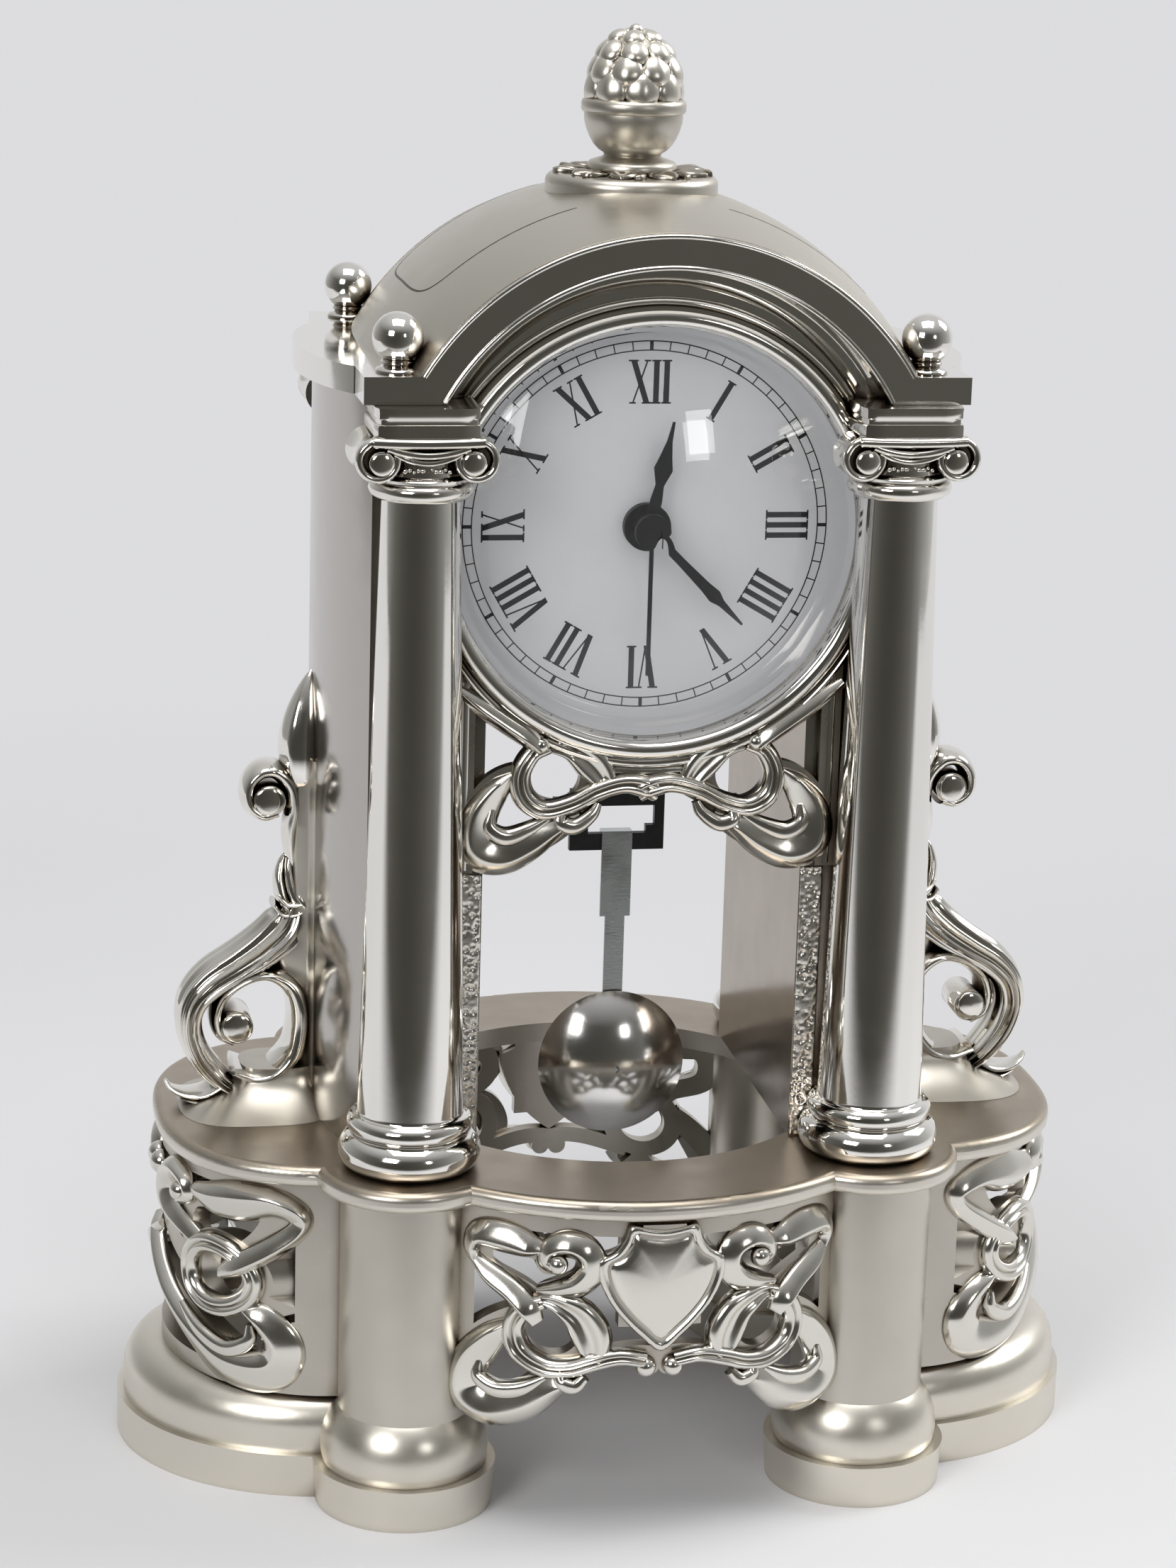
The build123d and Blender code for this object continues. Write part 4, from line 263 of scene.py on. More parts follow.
# What each solid that shows is made of
FINISH = {
    DECK: ["base_deck"],
    WALL: ["left_wall", "right_wall"],
    WEB: ["front_apron", "rear_apron", "left_panel", "right_panel", "dial_fascia"],
    PLINTH: ["left_plinth", "right_plinth"],
    SATIN: ["roof_shell", "finial_disc", "rear_fascia", "rear_cover"] + [c + "_pedestal" for c in CORNERS],
    POLISH: ["left_cornice", "right_cornice", "front_arch", "rear_arch", "corner_balls"],
    GLASS: ["dome_glass"],
    DIAL_WHITE: ["dial_plate"],
    BLACK_METAL: ["hour_hand", "minute_hand", "second_hand", "fixing_nut"],
    BLACK_PLASTIC: ["movement_case", "movement_cover", "pendulum_hanger", "train_bridge"],
    GEAR: ["second_wheel", "centre_wheel", "hour_wheel", "third_wheel", "intermediate_wheel", "motion_wheel"],
    MAGNET: ["rotor"],
    COIL: ["motor_coil"],
    BOARD: ["circuit_board"],
    CELL: ["battery"],
    CONTACT: ["battery_contacts"],
    STRIP_METAL: ["pendulum_rod"],
    BOB_METAL: ["pendulum_bob"],
}
for finish, names in FINISH.items():
    for name in names:
        node = NODES[name]
        if not node.material_slots:
            node.data.materials.append(finish)
        for place in node.material_slots:
            place.material = finish

for name in ("front_arch", "rear_arch", "left_cornice", "right_cornice"):
    soften = NODES[name].modifiers.new("soft_edge", "BEVEL")
    soften.width = 0.55 * MM
    soften.segments = 3
    soften.limit_method = "ANGLE"
    soften.angle_limit = math.radians(55)
    soften.harden_normals = True


# Geometry

def turns(n):
    """Angles of n equal steps round a full turn."""
    return [2 * math.pi * k / n for k in range(n)]


class Shape:
    """Points and faces of one piece, in millimetres."""

    def __init__(self):
        self.v = []
        self.f = []

    def grid(self, rows, ring=True, loop=False):
        """Joins rows of points: capped rings, rings that meet end to end (loop), or an open sheet."""
        first = len(self.v)
        n = len(rows[0])
        for row in rows:
            self.v.extend(Vector(p) for p in row)
        for i in range(len(rows) if loop else len(rows) - 1):
            k = (i + 1) % len(rows)
            for j in range(n if ring else n - 1):
                m = (j + 1) % n
                self.f.append((first + i * n + j, first + i * n + m, first + k * n + m, first + k * n + j))
        if ring and not loop:
            self.f.append(tuple(first + j for j in range(n)))
            self.f.append(tuple(first + (len(rows) - 1) * n + j for j in range(n)))

    def ball(self, centre, r, steps=14):
        c = Vector(centre)
        rows = []
        for i in range(steps + 1):
            a = math.pi * min(max(i / steps, 0.012), 0.988)
            rows.append([c + r * Vector((math.sin(a) * math.cos(b), math.sin(a) * math.sin(b), math.cos(a)))
                         for b in turns(2 * steps)])
        self.grid(rows)

    def lathe(self, centre, profile, steps=64):
        c = Vector(centre)
        self.grid([[c + Vector((r * math.cos(a), r * math.sin(a), z)) for a in turns(steps)]
                   for r, z in profile])

    def mirror(self, axis):
        """Adds the mirror image across the plane through the origin."""
        n = len(self.v)
        for p in list(self.v):
            q = Vector(p)
            q[axis] = -q[axis]
            self.v.append(q)
        self.f.extend([tuple(reversed([i + n for i in f])) for f in list(self.f)])


def commit(shape, name, material, body="case", nodes=(), sharp=48):
    """Makes the piece, in place of the solids it shows better."""
    me = bpy.data.meshes.new(name)
    me.from_pydata([v * MM for v in shape.v], [], shape.f)
    bm = bmesh.new()
    bm.from_mesh(me)
    bmesh.ops.recalc_face_normals(bm, faces=bm.faces)
    bm.to_mesh(me)
    bm.free()
    me.shade_smooth()
    me.set_sharp_from_angle(angle=math.radians(sharp))
    me.materials.append(material)
    o = bpy.data.objects.new(name, me)
    SCENE.collection.objects.link(o)
    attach(o, body)
    if nodes:
        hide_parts(*nodes)


def between(p, q, r, s, t):
    """The value a share t of the way from q to r, on a smooth line through all four."""
    bend = 2 * p - 5 * q + 4 * r - s
    twist = 3 * q - p - 3 * r + s
    return 0.5 * (2 * q + (r - p) * t + bend * t * t + twist * t ** 3)


def curve(points, per=10, closed=False):
    """A smooth line through points of any number of values."""
    pts = [tuple(p) for p in points]
    n = len(pts)
    out = []
    for i in range(n if closed else n - 1):
        if closed:
            a, b, c, d = (pts[(i + k) % n] for k in (-1, 0, 1, 2))
        else:
            b, c = pts[i], pts[i + 1]
            a = pts[i - 1] if i else tuple(2 * x - y for x, y in zip(b, c))
            d = pts[i + 2] if i + 2 < n else tuple(2 * y - x for x, y in zip(b, c))
        for k in range(per):
            out.append(tuple(between(*four, k / per) for four in zip(a, b, c, d)))
    if not closed:
        out.append(pts[-1])
    return out


def section(kind, n=17):
    """A band's cross-section: across from -1 to 1, height 0 to 1, with a flat back."""
    top = []
    for i in range(n):
        a = -1 + 2 * i / (n - 1)
        dome = max(0.0, 1 - abs(a) ** 2.6) ** 0.5
        if kind == "groove":
            dome *= 1 - 0.42 * math.exp(-(a / 0.2) ** 2)
        elif kind == "crest":
            slope = (a - 0.3) / (0.7 if a > 0.3 else 1.3)
            dome = 0.25 * dome + 0.75 * (1 - abs(slope) ** 1.35)
        elif kind == "hollow":
            dome *= 1 - 0.55 * math.exp(-((a - 0.1) / 0.45) ** 2)
        top.append((a, dome))
    return top + [(0.9, -0.5), (-0.9, -0.5)]


PLAIN, GROOVE, HOLLOW, CREST = section("plain"), section("groove"), section("hollow"), section("crest", 21)


def ribbon(shape, at, points, kind=PLAIN, closed=False, rise=0.42, per=10, swell=1.0):
    """A domed band on a surface: points are (u, v, width, lift)."""
    line = curve(points, per, closed)
    spots = [at(u, v, lift) for u, v, w, lift in line]
    rows = []
    n = len(line)
    for i, (u, v, w, lift) in enumerate(line):
        p, up = spots[i]
        if closed:
            along = spots[(i + 1) % n][0] - spots[i - 1][0]
        else:
            along = spots[min(i + 1, n - 1)][0] - spots[max(i - 1, 0)][0]
        side = along.cross(up).normalized()
        w = max(w * swell + 0.25 * (swell - 1), 0.25)
        h = min(rise * w + 0.35, 2.3)
        rows.append([p + side * (a * w / 2) + up * (b * h) for a, b in kind])
    shape.grid(rows, loop=closed)


def ring_points(u, v, r, width, lift, stretch):
    return [(u + r * math.cos(a), v + r * stretch * math.sin(a), width, lift) for a in turns(16)]


def turned(shape, centre, sy, profile, steps=36, hollow=False):
    """A body of revolution about Y, or a ring: pairs of radius and depth behind the front."""
    rows = [[centre + Vector((r * math.cos(a), -sy * d, r * math.sin(a))) for a in turns(steps)]
            for r, d in profile]
    shape.grid(rows, loop=hollow)


# Pierced aprons, front and rear: half of the bands, as (x, z, width, lift), and of the balls

def apron_at(sign):
    def at(x, z, lift=0.0):
        a = math.asin(max(-1, min(1, x / APRON_R)))
        n = Vector((math.sin(a), sign * math.cos(a), 0))
        return Vector((0, sign * APRON_SHIFT, z)) + n * (APRON_R + lift), n
    return at


BAND_SWELL = 1.4
APRON_BANDS = [
    (CREST, [(-29.7, 46.8, 1.0, 0.3), (-30.4, 49.8, 2.4, 0.2), (-29.0, 52.3, 3.6, 0.1),
             (-25.4, 52.4, 4.2, 0.1), (-21.8, 51.6, 3.4, 0.0), (-19.0, 51.2, 1.4, -0.2)]),
    (CREST, [(-29.9, 47.8, 1.6, 0.0), (-27.4, 45.5, 2.8, 0.3), (-23.9, 43.1, 3.0, 0.7),
             (-21.3, 40.6, 2.9, 1.3), (-20.0, 38.3, 1.8, 1.0)]),
    (CREST, [(-17.4, 48.2, 1.6, 0.9), (-19.0, 49.2, 2.0, 0.6), (-18.4, 51.4, 2.6, 0.4),
             (-15.4, 52.7, 3.2, 0.3), (-12.4, 51.3, 3.5, 0.2), (-11.6, 48.4, 3.6, 0.1),
             (-13.4, 45.7, 3.4, 0.0), (-16.4, 44.2, 2.8, -0.1), (-20.2, 43.4, 1.6, -0.4)]),
    (GROOVE, [(-19.2, 41.9, 2.0, 0.0), (-22.2, 40.2, 2.7, 0.2), (-23.7, 36.6, 2.9, 0.3),
              (-22.6, 32.8, 2.9, 0.4), (-19.0, 30.5, 2.7, 0.5), (-15.0, 30.5, 2.5, 0.6),
              (-11.0, 31.9, 2.3, 0.6), (-6.7, 32.9, 2.1, 0.5), (-2.4, 32.3, 2.0, 0.4)]),
    (HOLLOW, [(-20.6, 42.1, 1.0, 0.0), (-17.2, 42.0, 2.6, 0.0), (-13.5, 39.9, 4.4, 0.0),
              (-11.5, 36.4, 5.0, 0.0), (-11.0, 33.4, 3.8, 0.0), (-11.6, 31.6, 1.6, 0.0)]),
    (CREST, [(-23.6, 37.6, 1.6, -0.2), (-27.2, 34.0, 3.8, 0.0), (-30.3, 28.9, 5.0, 0.1),
             (-30.9, 23.9, 5.6, 0.1), (-27.6, 21.7, 5.4, 0.1), (-22.4, 23.6, 5.4, 0.0),
             (-17.8, 26.9, 3.8, 0.1), (-14.6, 28.9, 1.8, 0.2)]),
    (PLAIN, [(-28.6, 29.8, 0.8, 0.9), (-28.6, 27.0, 1.8, 1.0), (-26.0, 25.4, 2.2, 0.9),
             (-22.2, 26.1, 2.0, 0.7), (-18.4, 28.4, 1.0, 0.4)]),
    (PLAIN, [(-16.0, 30.2, 1.0, 0.9), (-15.9, 28.3, 1.8, 1.2), (-13.9, 27.6, 1.9, 1.2),
             (-12.2, 29.2, 1.3, 0.8)]),
]
APRON_BALLS = [(-17.0, 48.9, 1.75, 0.9), (-2.3, 31.0, 1.8, 0.3)]
SHIELD = [(-10.3, 49.9), (-7.9, 51.6), (-6.3, 54.0), (-5.4, 56.3), (-2.6, 55.9), (0, 55.6), (2.6, 55.9),
          (5.4, 56.3), (6.3, 54.0), (7.9, 51.6), (10.3, 49.9), (10.1, 46.6), (8.4, 42.8), (5.8, 39.4),
          (3.0, 36.6), (0, 34.2), (-3.0, 36.6), (-5.8, 39.4), (-8.4, 42.8), (-10.1, 46.6)]
# Share of the outline and lift, from the rim inwards
SHIELD_STEPS = [(1.0, -1.2), (1.03, 0.5), (1.015, 1.3), (0.98, 1.65), (0.935, 1.75), (0.89, 1.6),
                (0.865, 1.15), (0.845, 1.1), (0.815, 1.45), (0.77, 1.7), (0.68, 1.88), (0.55, 2.02),
                (0.4, 2.14), (0.2, 2.24), (0.04, 2.27)]
SHIELD_MID, SHIELD_ROUND, SHIELD_FIELD = 46.5, 8.6, 0.84


def shield_rows(at):
    """Rings from the shield's outline, which grow round towards its middle."""
    rows = []
    for share, lift in SHIELD_STEPS:
        ease = max(0.0, (SHIELD_FIELD - share) / SHIELD_FIELD) ** 0.7
        row = []
        for x, z in curve(SHIELD, 3, True):
            rim = Vector((x, z - SHIELD_MID))
            a = math.atan2(rim.y, rim.x)
            soft = (1 - ease) * rim + ease * SHIELD_ROUND * Vector((math.cos(a), math.sin(a)))
            row.append(at(soft.x * share, SHIELD_MID + soft.y * share, lift)[0])
        rows.append(row)
    return rows


for place, sign in (("front", -1), ("rear", 1)):
    at = apron_at(sign)
    scroll = Shape()
    for kind, points in APRON_BANDS:
        ribbon(scroll, at, points, kind, swell=BAND_SWELL)
    for x, z, r, lift in APRON_BALLS:
        scroll.ball(at(x, z, lift)[0], r)
    scroll.mirror(0)
    commit(scroll, place + "_apron_scroll", SCROLL)
    shield = Shape()
    shield.grid(shield_rows(at))
    commit(shield, place + "_shield", SCROLL)


# Pierced side panels: half of the bands, as (y, z, width, lift), and of the balls

def panel_at(sign):
    def at(y, z, lift=0.0):
        s = max(-0.995, min(0.995, y / PANEL_B))
        c = math.sqrt(1 - s * s)
        n = Vector((sign * c / PANEL_A, s / PANEL_B, 0)).normalized()
        return Vector((sign * (PANEL_X + PANEL_A * c), PANEL_B * s, z)) + n * lift, n
    return at


PANEL_BANDS = [
    (CREST, [(-22.6, 38.2, 1.8, 1.0), (-25.0, 40.4, 2.8, 1.3), (-27.8, 43.8, 2.8, 0.8),
             (-29.6, 47.4, 2.6, 0.3), (-29.8, 50.6, 3.0, 0.1), (-28.0, 52.4, 4.0, 0.1),
             (-24.6, 51.6, 5.2, 0.1), (-21.0, 50.9, 4.6, 0.0), (-17.0, 51.2, 2.6, -0.2)]),
    (CREST, [(-13.6, 48.6, 1.6, 0.9), (-15.4, 49.8, 2.2, 0.6), (-14.6, 52.0, 2.8, 0.4),
             (-11.4, 53.0, 3.2, 0.3), (-8.4, 51.4, 3.4, 0.2), (-7.6, 48.4, 3.4, 0.2),
             (-9.6, 45.8, 3.2, 0.2), (-13.2, 44.2, 2.8, 0.1), (-18.2, 41.8, 2.2, -0.3)]),
    (CREST, [(-24.4, 33.6, 1.6, -0.2), (-27.4, 30.8, 3.8, 0.0), (-28.9, 26.0, 5.4, 0.1),
             (-27.8, 21.6, 5.8, 0.1), (-23.0, 21.4, 5.4, 0.1), (-17.6, 24.6, 4.4, 0.2),
             (-11.0, 29.0, 3.4, 0.4), (-5.0, 33.6, 2.8, 0.6), (0.0, 37.4, 2.4, 0.4),
             (3.0, 39.6, 1.2, 0.0)]),
    (PLAIN, [(-26.2, 29.8, 0.8, 0.9), (-26.0, 26.6, 1.9, 1.0), (-23.4, 24.6, 2.2, 0.9),
             (-19.0, 26.2, 2.0, 0.8), (-14.0, 29.2, 1.2, 0.5)]),
]
PANEL_BALLS = [(-13.3, 49.8, 1.9, 0.9), (-2.2, 51.0, 2.2, 0.3)]
PANEL_RING = ring_points(-21.3, 37.3, 5.2, 3.3, 0.35, 1.1)
for place, sign in (("left", -1), ("right", 1)):
    at = panel_at(sign)
    scroll = Shape()
    for kind, points in PANEL_BANDS:
        ribbon(scroll, at, points, kind, swell=BAND_SWELL)
    ribbon(scroll, at, PANEL_RING, GROOVE, True, swell=1.15)
    for y, z, r, lift in PANEL_BALLS:
        scroll.ball(at(y, z, lift)[0], r)
    scroll.mirror(1)
    commit(scroll, place + "_panel_scroll", SCROLL)


# Scroll below the dial: half of the bands, as (x, z, width, lift)

def fascia_at(x, z, lift=0.0):
    return Vector((x, -FASCIA_Y - 1.2 - lift, z)), Vector((0, -1, 0))


FASCIA_BANDS = [
    (CREST, [(-33.0, 142.8, 1.2, 0.3), (-28.6, 139.6, 2.6, 0.4), (-24.3, 136.6, 2.8, 0.6),
             (-20.6, 134.0, 2.6, 0.9), (-18.4, 131.9, 1.8, 1.0)]),
    (GROOVE, [(-17.0, 132.2, 1.8, 0.1), (-20.0, 130.9, 2.3, 0.2), (-21.8, 127.2, 2.5, 0.3),
              (-20.9, 123.3, 2.6, 0.4), (-17.6, 121.3, 2.5, 0.5), (-13.0, 122.3, 2.3, 0.6),
              (-8.6, 124.5, 2.3, 0.7), (-4.0, 125.7, 2.4, 0.7), (0.0, 125.0, 2.8, 0.7),
              (1.8, 123.6, 2.0, 0.5)]),
    (HOLLOW, [(-17.4, 132.0, 1.0, 0.0), (-13.2, 131.6, 2.8, 0.0), (-9.6, 129.2, 4.2, 0.0),
              (-7.4, 126.2, 3.2, 0.0), (-7.6, 124.6, 1.4, 0.0)]),
    (CREST, [(-22.2, 127.8, 1.4, -0.2), (-26.0, 124.6, 3.6, 0.0), (-28.8, 120.0, 4.8, 0.1),
             (-28.6, 115.2, 5.4, 0.1), (-24.8, 113.7, 5.2, 0.1), (-20.2, 115.5, 4.6, 0.1),
             (-15.8, 118.3, 3.2, 0.2), (-11.6, 120.4, 1.6, 0.2)]),
    (PLAIN, [(-26.6, 121.6, 0.8, 0.9), (-26.8, 118.6, 1.8, 1.0), (-24.2, 116.9, 2.2, 0.9),
             (-20.4, 118.0, 1.8, 0.7), (-16.6, 120.0, 1.0, 0.4)]),
    (PLAIN, [(-14.6, 121.2, 1.0, 0.9), (-14.8, 119.3, 1.9, 1.2), (-12.4, 118.6, 2.0, 1.2),
             (-9.6, 120.4, 1.6, 0.9), (-8.4, 122.4, 1.0, 0.6)]),
]
scroll = Shape()
for kind, points in FASCIA_BANDS:
    ribbon(scroll, fascia_at, points, kind, swell=1.45)
scroll.ball(fascia_at(-18.4, 132.6, 1.0)[0], 1.5)
scroll.mirror(0)
for z, w in ((130.2, 2.2), (128.0, 1.8)):
    ribbon(scroll, fascia_at, [(-8.6, z, w, -0.2), (0, z - 0.3, w, 0.0), (8.6, z, w, -0.2)], PLAIN)
commit(scroll, "dial_scroll", SCROLL)

# Rounded strips beside the scroll
STRIP_IN, STRIP_W, STRIP_RISE = 29.6, 3.6, 1.9
STRIP_ARC = [(STRIP_IN + STRIP_W * k / 8, STRIP_RISE * math.sin(math.pi * (0.12 + 0.8 * k / 8)))
             for k in range(9)]
strips = Shape()
for s in (-1, 1):
    rows = []
    for z in (111.0, 114.0, 120.0, 130.0, 138.0, 143.5):
        front = [Vector((s * x, -FASCIA_Y - 0.3 - d, z)) for x, d in STRIP_ARC]
        rows.append(front + [Vector((s * x, -FASCIA_Y, z)) for x in (STRIP_IN + STRIP_W, STRIP_IN)])
    strips.grid(rows)
commit(strips, "dial_side_strips", POLISH)


# Hammered strips on the wall edges

PIT_COLS, PIT_ROWS, PIT_STEP = 19, 222, 0.22
PIT_SKIN, PIT_DEPTH, PIT_R = 0.42, 0.4, 0.34
pits = Shape()
for sx, sy in CORNERS.values():
    rows = []
    for j in range(PIT_ROWS):
        z = DECK_TOP + 0.2 + j * PIT_STEP
        row = []
        for i in range(PIT_COLS):
            x = WALL_IN + 0.1 + i * PIT_STEP
            near = noise.voronoi(Vector((x * 1.05 + sx * 20, z * 0.95, sy * 9.0)))[0][0]
            deep = PIT_DEPTH * math.exp(-(near / PIT_R) ** 2)
            edge = min(i, PIT_COLS - 1 - i, j, PIT_ROWS - 1 - j) == 0
            row.append(Vector((sx * x, sy * (WALL_FACE + (0.02 if edge else PIT_SKIN - deep)), z)))
        rows.append(row)
    pits.grid(rows, ring=False)
commit(pits, "hammered_strips", PITTED, sharp=80)


# Columns: two round rings and a tapered shaft with a small fillet at its foot

def bulge(r, sag, z0, z1, n=12):
    """A rounded ring's profile: radius and height."""
    half = (z1 - z0) / 2
    round_r = (half * half + sag * sag) / (2 * sag)
    heights = [z0 + (z1 - z0) * i / n for i in range(n + 1)]
    return [(r - round_r + math.sqrt(round_r ** 2 - (z - z0 - half) ** 2), z) for z in heights]


SHAFT_FOOT, SHAFT_TOP = (8.983, 9.9), (6.5, CAPITAL_Z - DECK_TOP)
COLUMN = [(8.0, 0.02)] + bulge(12.1, 1.6, 0.02, 5.9) + [(10.1, 6.05)] + bulge(10.7, 0.8, 6.15, 9.3)
COLUMN += [(9.5, 9.42), (9.2, 9.5), (9.03, 9.65), SHAFT_FOOT, (8.976, 10.2), (8.969, 10.5)]
COLUMN += [tuple(a + (b - a) * i / 8 for a, b in zip(SHAFT_FOOT, SHAFT_TOP)) for i in range(1, 9)]
COLUMN.append((5.0, SHAFT_TOP[1]))
for name, (sx, sy) in CORNERS.items():
    column = Shape()
    column.lathe((sx * POST_X, sy * POST_Y, DECK_TOP), COLUMN, 72)
    commit(column, name + "_shaft", POLISH, nodes=[name + "_column"])


# Capitals: radius or half side and height above the column, from the neck up

VOLUTE_X, VOLUTE_R, VOLUTE_RISE, VOLUTE_FRONT = 8.0, 3.8, 7.1, 7.8
ROLL_INNER, ROLL_OUTER = 7.0, 13.5
ABACUS_DEPTH = 8.4
NECK = [(6.4, 0.0), (7.6, 0.1), (8.5, 0.8), (8.75, 1.7), (8.5, 2.5), (7.8, 2.9), (7.9, 3.2), (8.0, 3.6),
        (7.7, 4.0), (7.0, 4.2), (6.9, 6.0), (6.9, 9.0)]
ABACUS = [(7.9, 10.2), (8.5, 10.7), (8.7, 11.1), (8.7, 12.6), (8.5, 12.9), (8.2, 13.0), (8.2, 13.8),
          (8.5, 14.0), (8.5, 15.0), (8.6, 15.65)]
# Radius and depth behind the front of a volute's rim, and of the button in its middle
RIM = [(2.2, 1.6), (2.35, 0.7), (2.6, 0.25), (3.0, 0.0), (3.4, 0.1), (3.7, 0.55), (3.8, 1.3)]
BUTTON = [(2.15, 1.6), (2.15, 0.3), (1.95, -0.05), (1.5, -0.25), (0.8, -0.38), (0.05, -0.42)]
# Half width, height, sag, band width and lift of the swags between the volutes
SWAGS = [(9.0, 3.05, 0.25, 1.9, 0.9), (6.6, 2.2, 1.3, 1.5, 0.75), (5.4, 1.2, 1.6, 1.2, 0.3)]
# Depth and height of the core between the volutes
CORE = [(6.5, -0.3), (6.5, 3.5), (-6.0, 3.5), (-6.0, -0.3)]


def volutes(shape, c, sx, sy, zc):
    rim_back = RIM[-1][1]
    for side in (-1, 1):
        centre = c + Vector((side * VOLUTE_X, sy * VOLUTE_FRONT, zc))
        depth = ROLL_INNER if side * sx < 0 else ROLL_OUTER
        waist = [(VOLUTE_R * (1 - 0.2 * math.sin(math.pi * k / 8)), rim_back + (depth - rim_back) * k / 8)
                 for k in range(1, 9)]
        turned(shape, centre, sy, RIM + waist)
        turned(shape, centre + Vector((-side * 0.55, 0, -0.4)), sy, BUTTON, 28)


def square_ring(h):
    """A square outline with rounded corners, cut short in depth."""
    out = []
    for a in turns(48):
        ca, sa = math.cos(a), math.sin(a)
        q = (abs(ca) ** 12 + abs(sa) ** 12) ** (-1 / 12)
        out.append((h * q * ca, min(h, ABACUS_DEPTH) * q * sa))
    return out


def capital(shape, sx, sy):
    c = Vector((sx * POST_X, sy * POST_Y, 0))
    zc = CAPITAL_Z + VOLUTE_RISE
    shape.lathe(c, [(r, CAPITAL_Z + z) for r, z in NECK], 56)
    volutes(shape, c, sx, sy, zc)

    def front_at(x, z, lift=0.0):
        return Vector((c.x + x, c.y + sy * (6.6 + lift), z)), Vector((0, sy, 0))
    sweep = [k / 6 for k in range(-6, 7)]
    for reach, top, sag, w, lift in SWAGS:
        swag = [(reach * s, zc + top - sag * (1 - s * s), w, lift) for s in sweep]
        ribbon(shape, front_at, swag, PLAIN, rise=0.55, per=3)
    for k in range(11):
        spot = front_at(-3.6 + k * 0.72, zc - 1.75 + 0.2 * math.sin(k * 2.3))[0]
        shape.ball(spot, 0.42 + 0.08 * math.cos(k * 1.7), steps=6)
    shape.grid([[c + Vector((x, y, CAPITAL_Z + z)) for x, y in square_ring(h)] for h, z in ABACUS])
    shape.grid([[c + Vector((x, sy * y, zc + z)) for y, z in CORE] for x in (-VOLUTE_X, 0, VOLUTE_X)])
    for p in shape.v:
        if sy * p.y < WALL_FACE + 0.02:
            p.y = sy * (WALL_FACE + 0.02)


for name, (sx, sy) in CORNERS.items():
    head = Shape()
    capital(head, sx, sy)
    commit(head, name + "_capital_head", ORNAMENT, nodes=[name + "_capital"])


# Collars under the corner balls

COLLAR = [(3.5, 0.0), (3.6, 0.35), (3.3, 0.75), (2.6, 0.95), (2.3, 1.15), (2.6, 1.4), (2.75, 1.7),
          (2.5, 2.0), (1.2, 2.2)]
collars = Shape()
for sx, sy in CORNERS.values():
    collars.lathe((sx * BALL_X, sy * BALL_Y, CORNICE_TOP), COLLAR, 40)
commit(collars, "ball_collars", POLISH)


# Bezel: a rounded roll with a thin ridge round it

BEZEL = [(34.7, -26.6), (34.7, -30.4), (34.9, -31.3), (35.4, -32.0), (36.1, -32.4), (36.8, -32.3),
         (37.5, -31.9), (38.0, -31.2), (38.2, -30.5), (38.35, -30.3), (38.6, -30.7), (39.0, -30.95),
         (39.4, -30.8), (39.65, -30.3), (39.7, -29.6), (39.7, -28.1), (37.6, -26.6)]
rim = Shape()
turned(rim, Vector((0, 0, DIAL_Z)), 1, [(r, -y) for r, y in BEZEL], 160, True)
commit(rim, "bezel_roll", POLISH, nodes=["bezel"])


# Scroll brackets on the sides

def limb_section(flutes, deep, n):
    """A round section, fluted along its length: across Y from -1 to 1, and -0.5 to 0.5 through."""
    out = []
    for a in turns(n):
        r = 1 - deep * (0.5 - 0.5 * math.cos(flutes * a)) ** 0.8
        out.append((r * math.cos(a), 0.5 * r * math.sin(a)))
    return out


ROUND, FLUTED = limb_section(1, 0.0, 28), limb_section(11, 0.17, 88)


def strap(shape, points, kind, per=12):
    """A limb in an upright plane: points are (x, z, width along Y, thickness)."""
    line = curve(points, per)
    rows = []
    n = len(line)
    for i, (x, z, w, thick) in enumerate(line):
        before, after = line[max(i - 1, 0)], line[min(i + 1, n - 1)]
        ax, az = after[0] - before[0], after[1] - before[1]
        size = math.hypot(ax, az) or 1.0
        out = Vector((az / size, 0, -ax / size))
        rows.append([Vector((x, a * w / 2, z)) + out * (b * thick) for a, b in kind])
    shape.grid(rows)


# Share of the radius and depth behind the face of a scroll's rolled end
ROLL = [(0.05, -0.12), (0.55, -0.05), (0.8, 0.1), (0.95, 0.4), (1.0, 0.9)]


def roll(shape, x, z, r, half):
    """A scroll's rolled end, with a flat face on both sides."""
    ends = [(r * q, d) for q, d in ROLL]
    turned(shape, Vector((x, -half, z)), -1, ends + [(q, 2 * half - d) for q, d in reversed(ends)], 32)


